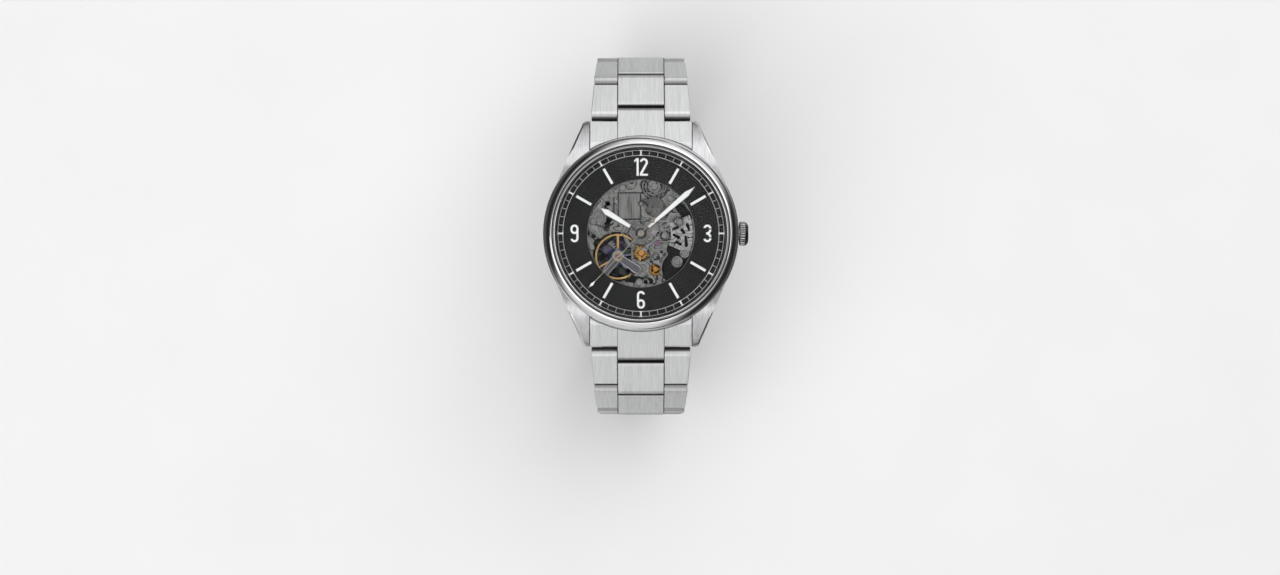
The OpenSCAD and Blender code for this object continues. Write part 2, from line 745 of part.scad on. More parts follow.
// ================= movement: wheels =================
barrel_teeth = 88;
centre_leaves = 10;
barrel_m = 2 * 6.3 / (barrel_teeth + centre_leaves);
barrel_top = plate_bottom - 0.15;
barrel_h = 1.45;
module barrel() {
    color("gray") at_head() translate([barrel_at[0], barrel_at[1], 0]) {
        difference() {
            union() {
                translate([0, 0, barrel_top - 0.35]) linear_extrude(0.35)
                    teeth(barrel_teeth, barrel_m, 90 + 180 / barrel_teeth);
                translate([0, 0, barrel_top - barrel_h]) cylinder(r = 5.2, h = barrel_h);
            }
            translate([0, 0, barrel_top - barrel_h + 0.2]) ring(4.9, 0.9, barrel_h - 0.4);
            for (a = [0:60:300]) rotate(a) translate([3.1, 0, barrel_top - 0.3]) cylinder(r = 0.95, h = 2);
            translate([0, 0, -9]) cylinder(r = 0.4, h = 9);
        }
        // mainspring, wound in the drum
        translate([0, 0, barrel_top - barrel_h + 0.25])
            for (i = [0:5]) ring(4.8 - 0.3 * i, 4.65 - 0.3 * i, 0.9);
    }
}

ratchet_post_r = 0.34;
ratchet_teeth = 44;
crown_teeth = 32;
wind_m = 2 * norm(crown_wheel_at - barrel_at) / (ratchet_teeth + crown_teeth);
wind_z = bridge_bottom - 0.35;
wind_turn = atan2(crown_wheel_at[1] - barrel_at[1], crown_wheel_at[0] - barrel_at[0]);
module ratchet_wheel() {
    color("silver") at_head() translate([barrel_at[0], barrel_at[1], 0]) {
        translate([0, 0, wind_z]) linear_extrude(0.3) difference() {
            teeth(ratchet_teeth, wind_m, wind_turn);
            for (a = [0:72:288]) rotate(a) translate([2.1, 0]) circle(r = 0.55);
        }
        translate([0, 0, wind_z + 0.3]) cylinder(r = ratchet_post_r, h = plate_top - 0.3 - wind_z - 0.3);
    }
}

module crown_wheel() {
    color("silver") at_head() translate([crown_wheel_at[0], crown_wheel_at[1], 0]) {
        translate([0, 0, wind_z]) linear_extrude(0.3) difference() {
            teeth(crown_teeth, wind_m, 180 + wind_turn + 180 / crown_teeth);
            for (a = [0:90:270]) rotate(a) translate([1.4, 0]) circle(r = 0.4);
        }
        translate([0, 0, wind_z + 0.3]) cylinder(r = ratchet_post_r, h = bridge_t + 0.4);
    }
}

third_leaves = 8;
third_m = 2 * (third_r - centre_r) / third_leaves;
centre_teeth = round(2 * centre_r / third_m);
module centre_wheel() {
    color("goldenrod") at_head() {
        translate([0, 0, centre_z])
            wheel(centre_teeth, third_m, 0.15, arms = 5, hub = 1.0, bore = 0.35, turn = -30);
        translate([0, 0, barrel_top - 0.4]) linear_extrude(0.45) difference() {
            teeth(centre_leaves, barrel_m, 90);
            circle(r = 0.35);
        }
        translate([0, 0, centre_z + 0.15]) difference() {
            cylinder(r = 0.42, h = plate_top - 0.55 - centre_z - 0.15);
            translate([0, 0, -1]) cylinder(r = 0.35, h = 6);
        }
    }
}

// A plain round arbor between two heights
module arbor(r, z0, z1) { translate([0, 0, z0]) cylinder(r = r, h = z1 - z0); }

fourth_leaves = 8;
arbor_r = 0.17;
third_teeth = 60;
fourth_m = 2 * third_r / (third_teeth + fourth_leaves);
module third_wheel() {
    color("goldenrod") at_head() translate([third_at[0], third_at[1], 0]) {
        translate([0, 0, third_z])
            wheel(third_teeth, fourth_m, 0.15, arms = 4, hub = 0.55, bore = 0.1, turn = 150);
        translate([0, 0, centre_z - 0.15]) linear_extrude(0.45)
            teeth(third_leaves, third_m, 150 + 180 / third_leaves);
        arbor(pivot_r, bridge_bottom + 0.1, plate_top - 0.1);
    }
}

escape_leaves = 7;
fourth_teeth = 84;
escape_m = 2 * norm(escape_at) / (fourth_teeth + escape_leaves);
escape_turn = atan2(escape_at[1], escape_at[0]);
module fourth_wheel() {
    color("goldenrod") at_head() {
        translate([0, 0, fourth_z])
            wheel(fourth_teeth, escape_m, 0.15, arms = 5, hub = 0.7, bore = 0.1, turn = escape_turn);
        translate([0, 0, third_z - 0.12]) linear_extrude(0.4)
            teeth(fourth_leaves, fourth_m, 150 + 180 / fourth_leaves);
        arbor(arbor_r, bridge_bottom + 0.1, second_z);
    }
}

module escape_wheel() {
    color("gold") at_head() translate([escape_at[0], escape_at[1], 0]) {
        translate([0, 0, escape_z]) linear_extrude(0.2) difference() {
            union() {
                circle(r = 1.2);
                for (i = [0:14]) rotate(24 * i)
                    polygon([[1.1, -0.17], [1.62, 0.02], [1.6, 0.12], [1.1, 0.16]]);
            }
            circle(r = 0.1);
            for (a = [0:90:270]) rotate(a) translate([0.75, 0]) circle(r = 0.24);
        }
        translate([0, 0, fourth_z - 0.1]) linear_extrude(0.35)
            teeth(escape_leaves, escape_m, 180 + escape_turn + 180 / escape_leaves);
        arbor(pivot_r, bridge_bottom + 0.1, plate_top - 0.1);
    }
}

fork_turn = atan2(balance_at[1] - fork_at[1], balance_at[0] - fork_at[0]);
fork_reach = norm(balance_at - fork_at) - 0.62;
module pallet_fork() {
    color("silver") at_head() translate([fork_at[0], fork_at[1], 0]) rotate(fork_turn) {
        translate([0, 0, escape_z]) linear_extrude(0.2) difference() {
            union() {
                translate([0, -0.14]) square([fork_reach, 0.28]);
                circle(r = 0.38);
                translate([fork_reach - 0.25, -0.32]) square([0.45, 0.64]);
                polygon([[0.02, -1.05], [0.25, -1.05], [0.3, 0], [0.25, 1.05], [0.02, 1.05], [-0.15, 0]]);
            }
            translate([fork_reach - 0.1, -0.15]) square([0.5, 0.3]);
        }
        arbor(pivot_r, bridge_bottom + 0.1, escape_z + 0.5);
    }
    color("crimson") at_head() translate([fork_at[0], fork_at[1], escape_z + 0.02]) rotate(fork_turn)
        for (s = [-1, 1]) translate([-0.3, s * 0.93 - 0.1, 0]) cube([0.45, 0.2, 0.16]);
}

balance_arms = 3;
module balance_wheel() {
    color("gold") at_head() translate([balance_at[0], balance_at[1], 0]) {
        translate([0, 0, balance_z - 0.2]) ring(balance_r, balance_r - balance_rim, 0.42);
        translate([0, 0, balance_z - 0.1]) linear_extrude(0.2) {
            for (i = [0:balance_arms - 1]) rotate(90 + 360 / balance_arms * i)
                translate([0, -0.22]) square([balance_r - balance_rim / 2, 0.44]);
            circle(r = 0.75);
        }
        arbor(pivot_r, bridge_bottom + 0.1, cock_z + cock_t - 0.05);
        arbor(0.2, escape_z - 0.8, cock_z - 0.1);
        translate([0, 0, escape_z + 0.4]) cylinder(r = 0.55, h = 0.12);
        // impulse pin, just above the fork's notch
        rotate(fork_turn + 180) translate([0.42, 0, escape_z + 0.25]) cylinder(r = 0.09, h = 0.2);
    }
}

spring_z = balance_z + 0.25;
spring_turns = 6;
spring_steps = 30;
spring_w = 0.07;
// Radius of the hairspring after t turns
function spring_r(t) = 0.62 + 0.2 * t;
module hairspring() {
    n = spring_turns * spring_steps;
    heel_turn = atan2(cock_heel[1] - balance_at[1], cock_heel[0] - balance_at[0]);
    color("steelblue") at_head() translate([balance_at[0], balance_at[1], spring_z]) rotate(heel_turn) {
        linear_extrude(0.14) polygon(concat(
            [for (i = [0:n]) let(t = i / spring_steps)
                (spring_r(t) + spring_w) * [cos(360 * t), sin(360 * t)]],
            [for (i = [n:-1:0]) let(t = i / spring_steps) spring_r(t) * [cos(360 * t), sin(360 * t)]]));
        ring(0.66, 0.2 + fit_gap, 0.16);
        translate([spring_r(spring_turns) - 0.05, -0.15, 0]) cube([0.35, 0.3, cock_z - spring_z]);
    }
}

cannon_r = 0.42;
module cannon_pinion() {
    color("dimgray") at_head() difference() {
        union() {
            translate([0, 0, plate_top - 0.28]) linear_extrude(0.22) teeth(10, tooth, 25 + 18);
            translate([0, 0, plate_top - 0.28])
                cylinder(r = cannon_r - fit_gap, h = minute_z + 0.25 - plate_top + 0.28);
        }
        translate([0, 0, -9]) cylinder(r = arbor_r + run_gap, h = 20);
    }
}

hour_pipe_r = 0.85;
module hour_wheel() {
    color("goldenrod") at_head() difference() {
        union() {
            translate([0, 0, -0.26]) linear_extrude(0.16) teeth(32, tooth, 25 + 180 / 32);
            translate([0, 0, -0.26]) cylinder(r = hour_pipe_r, h = hour_z + 0.45);
        }
        translate([0, 0, -3]) cylinder(r = cannon_r + run_gap, h = 6);
    }
}

module minute_wheel() {
    color("goldenrod") at_head() translate([minute_at[0], minute_at[1], 0]) {
        translate([0, 0, plate_top - 0.28]) linear_extrude(0.18) teeth(30, tooth, 25 + 180);
        translate([0, 0, plate_top - 0.1]) linear_extrude(0.45) teeth(8, tooth, 25 + 180);
        arbor(jewel_r - run_gap, plate_bottom + 0.1, plate_top - 0.28);
    }
}

rotor_z = bridge_bottom - 1.35;
weight_w = 2.2;
rotor_gear_teeth = 60;
reversing_teeth = 18;
reversing_post_r = 0.3;
reversing_m = 2 * norm(reversing_at) / (rotor_gear_teeth + reversing_teeth);
reversing_turn = atan2(reversing_at[1], reversing_at[0]);
module rotor() {
    color("silver") at_head() {
        translate([0, 0, rotor_z]) linear_extrude(0.3) difference() {
            union() {
                intersection() {
                    circle(r = rotor_r - 1.2, $fn = 128);
                    translate([-20, -20]) square([40, 20]);
                }
                circle(r = 2.6);
            }
            circle(r = 1.55);
            for (a = [-155, -115, -65, -25]) rotate(a) translate([6.6, 0]) circle(r = 1.35);
        }
        translate([0, 0, rotor_z]) linear_extrude(0.95) intersection() {
            difference() { circle(r = rotor_r, $fn = 128); circle(r = rotor_r - weight_w, $fn = 128); }
            translate([-20, -20]) square([40, 20]);
        }
        // gear under the rotor
        translate([0, 0, rotor_z + 0.3]) linear_extrude(0.35) difference() {
            teeth(rotor_gear_teeth, reversing_m, reversing_turn);
            circle(r = rotor_gear_teeth * reversing_m / 2 - 1.1);
        }
        translate([0, 0, rotor_z + 0.3]) linear_extrude(0.3) difference() {
            circle(r = rotor_gear_teeth * reversing_m / 2 - 1.0);
            circle(r = 1.55);
            for (a = [0:60:300]) rotate(a) translate([3.3, 0]) circle(r = 1.0);
        }
        // ball bearing, held by its screw
        translate([0, 0, rotor_z]) ring(1.5, 1.05, 0.5);
    }
    color("silver") at_head() translate([0, 0, rotor_z]) ring(1.0, 0.35, 0.5);
}

module reversing_wheel() {
    color("goldenrod") at_head() translate([reversing_at[0], reversing_at[1], 0]) {
        translate([0, 0, rotor_z + 0.3]) wheel(reversing_teeth, reversing_m, 0.35, arms = 3, hub = 0.6,
            bore = 0.1, rim = 0.3, turn = 180 + reversing_turn + 180 / reversing_teeth);
        arbor(reversing_post_r, rotor_z + 0.65, plate_bottom - 0.1);
        translate([0, 0, bridge_top + 0.3]) wheel(28, 0.1, 0.3, arms = 3, hub = 0.55, rim = 0.3);
    }
}

// ================= hands =================
hour_l = track_r - hour_inset;
minute_l = track_r - minute_inset;
second_l = track_r - second_inset;
hour_z = 0.5;
minute_z = 0.85;
second_z = 1.2;
hand_t = 0.16;
needle_t = 0.12;
minute_angle = shown_minutes * 6;
hour_angle = 300 + minute_angle / 12 - hour_lag;
second_angle = shown_seconds * 6;

// A hand that points to twelve: a stalk and a blade that is widest near its end
module sword(length, stalk, narrow, wide) {
    shoulder = length * 0.84;
    polygon([[-0.22, 0], [-0.22, stalk], [-narrow / 2, stalk], [-wide / 2, shoulder], [0, length],
        [wide / 2, shoulder], [narrow / 2, stalk], [0.22, stalk], [0.22, 0]]);
}

module hour_hand() {
    color("white") at_head() rotate(-hour_angle) translate([0, 0, hour_z]) difference() {
        union() {
            linear_extrude(hand_t) sword(hour_l, 2.7, 0.8, 1.3);
            cylinder(r = 1.2, h = hand_t);
        }
        translate([0, 0, -1]) cylinder(r = hour_pipe_r + fit_gap, h = 2);
    }
}

module minute_hand() {
    color("white") at_head() rotate(-minute_angle) translate([0, 0, minute_z]) difference() {
        union() {
            linear_extrude(hand_t) sword(minute_l, 2.1, 0.65, 1.2);
            cylinder(r = 0.95, h = hand_t);
        }
        translate([0, 0, -1]) cylinder(r = cannon_r, h = 2);
    }
}

module seconds_hand() {
    tail = 4.2;
    color("silver") at_head() rotate(-second_angle) translate([0, 0, second_z]) difference() {
        union() {
            translate([-0.09, -tail, 0]) cube([0.18, second_l + tail, needle_t]);
            cylinder(r = 0.6, h = needle_t);
            translate([0, second_l - 1.2, 0]) linear_extrude(needle_t)
                polygon([[0, -0.9], [-0.32, 0], [0, 0.7], [0.32, 0]]);
            translate([0, 0.6 - tail, 0]) cylinder(r = 0.42, h = needle_t);
        }
        translate([0, 0, -1]) cylinder(r = arbor_r, h = 2);
    }
}

// ================= bracelet =================
side_gap = 0.08;
tie_pin_r = 0.4;
pin_inset = 0.15;
end_reach = link_r + link_gap;

// A block with one end rounded about the line x: round end at y0, flat end at y1
module rounded_block(r, y0, y1, x0, x1) {
    along_x(x0, x1) {
        translate([y0, 0]) circle(r = r);
        translate([min(y0, y1), -r]) square([abs(y1 - y0), 2 * r]);
    }
}

// One link: its own pin at the origin, the next pin at y = pitch
module link(i) {
    w0 = width_at(i - 1) / 2;
    w1 = width_at(i) / 2;
    inner = middle_w / 2 + side_gap;
    for (s = [0, 1]) mirror([s, 0, 0]) difference() {
        intersection() {
            rounded_block(side_r, 0, pitch - end_reach, inner, w0 + 1);
            translate([0, 0, -link_t]) linear_extrude(2 * link_t)
                polygon([[0, -link_t], [w0, -link_t], [w0, 0], [w1, pitch], [w1, 2 * pitch], [0, 2 * pitch]]);
        }
        bar(pin_r + fit_gap, 40);
        translate([0, pitch / 2, 0]) bar(tie_pin_r + fit_gap, 2 * (w1 - 0.6));
    }
    difference() {
        rounded_block(link_r, pitch, end_reach, -middle_w / 2, middle_w / 2);
        translate([0, pitch, 0]) bar(pin_r + run_gap, 40);
        translate([0, pitch / 2, 0]) bar(tie_pin_r + fit_gap, 40);
    }
    bar(pin_r, 2 * (w0 - pin_inset));
    translate([0, pitch / 2, 0]) bar(tie_pin_r, 2 * (w1 - 0.6 - face_gap));
}

// Puts a part drawn at its own pin at pin i - 1 of the closed line, on the twelve (1) or six (-1) side
module on_line(i, side) {
    at_head() mirror([0, side < 0 ? 1 : 0, 0])
        translate([0, pin_y(i - 1, fullness), pin_z(i - 1, fullness)]) rotate([-slope(i, fullness), 0, 0])
            children();
}

// The pieces that fill the gap between the lugs. The middle of each carries pin 0.
end_y0 = case_r - 3.9;
end_y1 = case_r - 1.4;
end_top = -0.9;
end_low = band_bottom + 0.7;
// Height of the end link's back from end_y1 on, where it falls to meet the first link
function end_back(y) = let(t = (y - end_y1) / (end_pin_y + link_r * sin(first_slope) - end_y1))
    (1 - t) * end_top + t * (end_pin_z + link_r * cos(first_slope));
module end_links() {
    flat_y = end_pin_y - end_reach;
    for (side = [0, 1]) color("silver") at_head() mirror([0, side, 0]) difference() {
        union() {
            along_x(-middle_w / 2, middle_w / 2) {
                translate([end_pin_y, end_pin_z]) circle(r = link_r);
                polygon([[end_y0, end_top], [end_y1, end_top],
                    [end_pin_y + link_r * sin(first_slope), end_pin_z + link_r * cos(first_slope)],
                    [end_pin_y - 0.4, end_pin_z - link_r + 0.06], [end_y1, end_low], [end_y0, end_low]]);
            }
            for (s = [0, 1]) mirror([s, 0, 0]) along_x(middle_w / 2, lug_gap / 2 - 0.15)
                polygon([[end_y0, end_top - 0.1], [end_y1, end_top - 0.1], [flat_y, end_back(flat_y) - 0.1],
                    [flat_y, end_pin_z - side_r], [end_y1, end_low], [end_y0, end_low]]);
        }
        translate([0, 0, -10]) cylinder(r = case_r + run_gap, h = 20, $fn = 180);
        translate([0, spring_bar_y, spring_bar_z]) bar(spring_bar_r + 0.15, 40);
        translate([0, end_pin_y, end_pin_z]) bar(pin_r + run_gap, 40);
    }
}

// ================= clasp =================
// Heights are measured from the line between the two pins that the clasp hangs on
cover_t = 0.7;
wall_t = 0.8;
cover_top = link_r - 0.1;
cover_floor = -link_r - 0.4;
knuckle_r = 0.8;
blade_pin_r = 0.4;
knuckle_half = middle_w / 2 + 0.2;
blade_w = 12.4;
outer_blade_z = -1.15;
inner_blade_dz = 0.5;
hinge_y = clasp_span / 2 - 2.6;
hinge_z = -1.05;
fold_y = -clasp_span / 2 + 6.5;
fold_x = 3.6;
fold_z = inner_blade_dz + blade_t - knuckle_r;
button_y = fold_y + 1.7;
button_r = 1.3;
button_stem_r = 1.0;
button_travel = 0.5;
button_head = 0.5;
catch_x = 6.35;
catch_t = 0.45;

module at_clasp() { at_head() translate([0, 0, clasp_z]) children(); }

// Folded cover. Its ears at -Y take the last link of the six o'clock half.
module clasp_cover() {
    ear_y = -clasp_span / 2;
    low = cover_floor - cover_t;
    near = clasp_span / 2 + 1.2;
    wall_x = clasp_w / 2 - wall_t;
    color("silver") at_clasp() difference() {
        union() {
            translate([-clasp_w / 2, ear_y + end_reach + 0.2, low])
                cube([clasp_w, near - ear_y - end_reach - 0.2, cover_t]);
            for (s = [0, 1]) mirror([s, 0, 0]) {
                translate([wall_x, ear_y, low]) cube([wall_t, near - ear_y, cover_top - low]);
                rounded_ear(ear_y, low);
                // knuckle of the hinge, on its foot
                translate([0, hinge_y, hinge_z]) rotate([0, 90, 0])
                    translate([0, 0, knuckle_half + side_gap])
                        cylinder(r = knuckle_r, h = wall_x - knuckle_half);
                translate([knuckle_half + side_gap, hinge_y - 0.5, cover_floor - 0.1])
                    cube([wall_x - knuckle_half, 1, hinge_z - cover_floor]);
            }
        }
        translate([0, ear_y, 0]) bar(pin_r + fit_gap, 2 * (clasp_w / 2 - 1));
        translate([0, hinge_y, hinge_z]) bar(blade_pin_r + fit_gap, clasp_w - 1);
        translate([0, button_y, 0]) bar(button_stem_r + run_gap, 40);
    }
    color("silver") at_clasp() translate([0, hinge_y, hinge_z]) bar(blade_pin_r, clasp_w - 1 - face_gap);
}

// Ear beside the last link's middle, rounded about the pin
module rounded_ear(ear_y, low) {
    x0 = middle_w / 2 + 0.15;
    intersection() {
        along_x(x0, clasp_w / 2) {
            translate([ear_y, 0]) circle(r = side_r);
            translate([ear_y, low]) square([2 * end_reach, cover_top - low]);
            translate([ear_y - side_r * 0.6, low]) square([2 * end_reach, side_r]);
        }
        translate([0, ear_y - end_reach, low]) cube([clasp_w, 3 * end_reach, cover_top - low]);
    }
}

module clasp_outer_blade() {
    color("silver") at_clasp() {
        difference() {
            union() {
                translate([-blade_w / 2, fold_y, outer_blade_z])
                    cube([blade_w, hinge_y - fold_y - 1.6, blade_t]);
                translate([-knuckle_half, hinge_y - 1.8, outer_blade_z])
                    cube([2 * knuckle_half, 1.8, blade_t]);
                translate([0, hinge_y, hinge_z]) bar(knuckle_r - 0.1, 2 * knuckle_half);
                for (s = [0, 1]) mirror([s, 0, 0]) {
                    translate([fold_x, fold_y, fold_z]) rotate([0, 90, 0])
                        cylinder(r = knuckle_r, h = blade_w / 2 - fold_x);
                    translate([fold_x, fold_y, outer_blade_z])
                        cube([blade_w / 2 - fold_x, knuckle_r, fold_z - outer_blade_z]);
                }
            }
            translate([0, hinge_y, hinge_z]) bar(blade_pin_r + run_gap, 40);
            translate([0, fold_y, fold_z]) bar(blade_pin_r + fit_gap, 40);
            for (y = [-3, 2.5]) translate([0, y, -3]) cylinder(r = 1.6, h = 6);
        }
        translate([0, fold_y, fold_z]) bar(blade_pin_r, blade_w - 0.3);
    }
}

// Blade on the wrist's side, with arms that take the last link of the twelve o'clock half
module clasp_inner_blade() {
    arm_x = middle_w / 2 + 0.15;
    arm_w = 1.3;
    arm_l = 6;
    pin_at = clasp_span / 2;
    color("silver") at_clasp() {
        difference() {
            union() {
                translate([-blade_w / 2, fold_y + knuckle_r + 0.2, inner_blade_dz])
                    cube([blade_w, pin_at - arm_l + 1 - fold_y - knuckle_r - 0.2, blade_t]);
                translate([0, fold_y, fold_z]) bar(knuckle_r, 2 * (fold_x - 0.1));
                translate([-fold_x + 0.1, fold_y, fold_z + 0.1])
                    cube([2 * (fold_x - 0.1), knuckle_r + 0.4, knuckle_r - 0.1]);
                for (s = [0, 1]) mirror([s, 0, 0]) {
                    translate([arm_x, pin_at - arm_l, inner_blade_dz]) cube([arm_w, arm_l, blade_t]);
                    translate([arm_x + arm_w / 2, pin_at, 0]) bar(1.3, arm_w);
                    // catch beside the button
                    translate([catch_x, button_y - 0.9, outer_blade_z + 0.5])
                        cube([catch_t, 1.8, inner_blade_dz + blade_t - outer_blade_z - 0.5]);
                    translate([blade_w / 2 - 0.3, button_y - 0.9, inner_blade_dz]) cube([0.5, 1.8, blade_t]);
                }
            }
            translate([0, fold_y, fold_z]) bar(blade_pin_r + run_gap, 40);
            translate([0, pin_at, 0]) bar(pin_r + fit_gap, 40);
            translate([0, 3, -3]) cylinder(r = 1.8, h = 6);
        }
        translate([0, pin_at, 0]) bar(pin_r, 2 * (arm_x + arm_w - 0.1));
    }
}

module clasp_button(s) {
    color("silver") at_clasp() mirror([s < 0 ? 1 : 0, 0, 0]) translate([0, button_y, 0]) rotate([0, 90, 0]) {
        translate([0, 0, clasp_w / 2 + button_travel + face_gap]) cylinder(r = button_r, h = button_head);
        translate([0, 0, catch_x + catch_t + button_travel + 0.1])
            cylinder(r = button_stem_r, h = clasp_w / 2 + face_gap - catch_x - catch_t - 0.1);
    }
}

// ================= assembly =================
case_middle();
bezel();
crystal();
rehaut_ring();
dial();
dial_markers();
movement_ring();
case_back();
case_back_window();
gaskets();
crown_tube();
lug_spring_bars();
end_links();
crown();
winding_stem();
setting_lever();
keyless_cover();
main_plate();
barrel_bridge();
train_bridge();
balance_bridge();
jewels();
plate_screws();
barrel();
ratchet_wheel();
crown_wheel();
centre_wheel();
third_wheel();
fourth_wheel();
escape_wheel();
pallet_fork();
balance_wheel();
hairspring();
cannon_pinion();
hour_wheel();
minute_wheel();
rotor();
reversing_wheel();
hour_hand();
minute_hand();
seconds_hand();
clasp_cover();
clasp_outer_blade();
clasp_inner_blade();
clasp_button(-1);  // clasp_button_left
clasp_button(1);  // clasp_button_right
for (i = [1:LINKS]) color("lightgray") on_line(i, 1) link(i);
for (i = [1:LINKS]) color("lightgray") on_line(i, -1) link(i);
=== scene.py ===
import json
from math import cos, radians

import bmesh
import bpy
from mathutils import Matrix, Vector


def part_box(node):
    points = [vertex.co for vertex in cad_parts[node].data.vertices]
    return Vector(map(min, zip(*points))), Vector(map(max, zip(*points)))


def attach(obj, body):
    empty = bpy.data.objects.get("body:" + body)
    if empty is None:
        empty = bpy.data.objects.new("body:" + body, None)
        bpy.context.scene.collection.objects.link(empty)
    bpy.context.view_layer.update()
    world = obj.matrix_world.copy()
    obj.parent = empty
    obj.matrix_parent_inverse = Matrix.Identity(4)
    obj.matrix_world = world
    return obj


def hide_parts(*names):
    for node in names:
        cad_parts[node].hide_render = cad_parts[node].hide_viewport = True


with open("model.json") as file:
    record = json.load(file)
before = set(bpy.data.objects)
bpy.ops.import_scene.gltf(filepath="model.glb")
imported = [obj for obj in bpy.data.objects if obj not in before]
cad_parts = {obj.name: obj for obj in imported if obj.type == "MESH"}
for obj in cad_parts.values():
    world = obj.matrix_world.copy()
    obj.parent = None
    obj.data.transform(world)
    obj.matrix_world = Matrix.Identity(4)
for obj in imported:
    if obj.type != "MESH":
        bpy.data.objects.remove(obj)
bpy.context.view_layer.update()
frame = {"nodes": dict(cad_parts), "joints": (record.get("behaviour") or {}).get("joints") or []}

# ---- Studio ----
# The closed watch stands on its clasp on a pale table, in a pale room with three soft lamps.
# The camera looks straight down from half a metre above the dial.


class Wire:
    """One output in a material. Arithmetic on it adds Math nodes."""

    def __init__(self, tree, output=None):
        self.tree, self.output = tree, output

    def node(self, kind, settings=None, sockets=None, output=0):
        """Adds a node: first its settings, then the values or links of its sockets."""
        made = self.tree.nodes.new(kind)
        for name, value in (settings or {}).items():
            setattr(made, name, value)
        for name, value in (sockets or {}).items():
            if isinstance(value, Wire):
                self.tree.links.new(value.output, made.inputs[name])
            else:
                made.inputs[name].default_value = value
        return Wire(self.tree, made.outputs[output])

    def math(self, operation, *values):
        """A Math node on the values given, or on this output alone."""
        return self.node("ShaderNodeMath", {"operation": operation}, dict(enumerate(values or (self,))))

    def __add__(self, other):
        return self.math("ADD", self, other)

    def __radd__(self, other):
        return self.math("ADD", other, self)

    def __sub__(self, other):
        return self.math("SUBTRACT", self, other)

    def __rsub__(self, other):
        return self.math("SUBTRACT", other, self)

    def __mul__(self, other):
        return self.math("MULTIPLY", self, other)

    def __rmul__(self, other):
        return self.math("MULTIPLY", other, self)

    def __truediv__(self, other):
        return self.math("DIVIDE", self, other)

    def __lt__(self, other):
        return self.math("LESS_THAN", self, other)

    def __gt__(self, other):
        return self.math("GREATER_THAN", self, other)

    def eased(self, low, high):
        """0 below low, 1 above high, smooth between."""
        return self.node("ShaderNodeMapRange", {"interpolation_type": "SMOOTHSTEP"},
                         {"Value": self, "From Min": low, "From Max": high})

    def tint(self, dark, light):
        """A colour that goes from dark to light as this goes from 0 to 1."""
        return self.node("ShaderNodeMix", {"data_type": "RGBA"}, {0: self, 6: dark, 7: light}, 2)


def grey(value):
    return (value, value, value, 1.0)


dial_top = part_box("dial")[1][2]
table_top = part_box("clasp_cover")[0][2]
LENS_HEIGHT = 0.5
FRAME_WIDTH = 0.2723
SENSOR = 0.036
LENS_OVER = (-0.0002, -0.0115)
MM_PER_M = 1000
camera_data = bpy.data.cameras.new("camera")
camera_data.sensor_width = SENSOR * MM_PER_M
camera_data.lens = SENSOR * MM_PER_M * LENS_HEIGHT / FRAME_WIDTH
camera = bpy.data.objects.new("camera", camera_data)
camera.location = (*LENS_OVER, dial_top + LENS_HEIGHT)
bpy.context.scene.collection.objects.link(camera)
bpy.context.scene.camera = camera
bpy.context.scene.view_settings.view_transform = "Standard"

# The room's walls are pale, but for two dark ones that face each other along this line
DARK_X, DARK_Y = -0.94, 0.34
room = bpy.data.worlds.new("room")
bpy.context.scene.world = room
room.use_nodes = True
air = Wire(room.node_tree)
looking = air.node("ShaderNodeTexCoord", output=0)
height = air.node("ShaderNodeSeparateXYZ", {}, {"Vector": looking}, 2)
side = air.node("ShaderNodeVectorMath", {"operation": "DOT_PRODUCT"},
                {0: looking, 1: (DARK_X, DARK_Y, 0)}, "Value").math("ABSOLUTE")
walls = height.eased(0.0, 0.8) * 0.22 + 0.83
walls = walls * (1 - 0.97 * side.eased(0.4, 0.8)) * (1 - 0.6 * height.eased(0.955, 0.995))
seen = air.node("ShaderNodeLightPath", output="Is Camera Ray")
room.node_tree.links.new(
    seen.tint(walls.tint(grey(0), grey(1)), grey(1)).output,
    room.node_tree.nodes["Background"].inputs["Color"])

for name, place, size, watts in [("key", (0.22, 0.30, 0.62), 0.70, 1.0),
                                 ("fill", (-0.30, -0.22, 0.55), 0.60, 0.9),
                                 ("rim", (0.10, 0.45, 0.35), 0.40, 0.12)]:
    lamp = bpy.data.lights.new(name, "AREA")
    lamp.size, lamp.energy = size, watts
    hung = bpy.data.objects.new(name, lamp)
    hung.location = place
    towards_dial = Vector((0, 0, dial_top)) - Vector(place)
    hung.rotation_euler = towards_dial.to_track_quat("-Z", "Y").to_euler()
    bpy.context.scene.collection.objects.link(hung)


def finish(name, colour, metallic, roughness, **own):
    """A new material with its shader's own values. Returns it, its shader and its object coordinates."""
    material = bpy.data.materials.new(name)
    material.use_nodes = True
    shader = material.node_tree.nodes["Principled BSDF"]
    own = {"Base Color": colour, "Metallic": metallic, "Roughness": roughness,
           **{key.replace("_", " "): value for key, value in own.items()}}
    for socket, value in own.items():
        shader.inputs[socket].default_value = value
    return material, shader, Wire(material.node_tree).node("ShaderNodeTexCoord", output="Object")


def feed(shader, **wires):
    """Links what changes over the surface to the shader."""
    for socket, wire in wires.items():
        wire.tree.links.new(wire.output, shader.inputs[socket.replace("_", " ")])


def noise(where, scale, detail=3.0, turn=(0, 0, 0)):
    """Clouds, or with an uneven scale streaks, in object coordinates."""
    placed = where.node("ShaderNodeMapping", {}, {"Vector": where, "Rotation": turn, "Scale": scale})
    return placed.node("ShaderNodeTexNoise", {}, {"Vector": placed, "Scale": 1.0, "Detail": detail})


def relief(height, depth):
    """A bump of a height pattern. depth is what its 0 to 1 stands for, in metres."""
    return height.node("ShaderNodeBump", {}, {"Strength": 1.0, "Distance": depth, "Height": height})


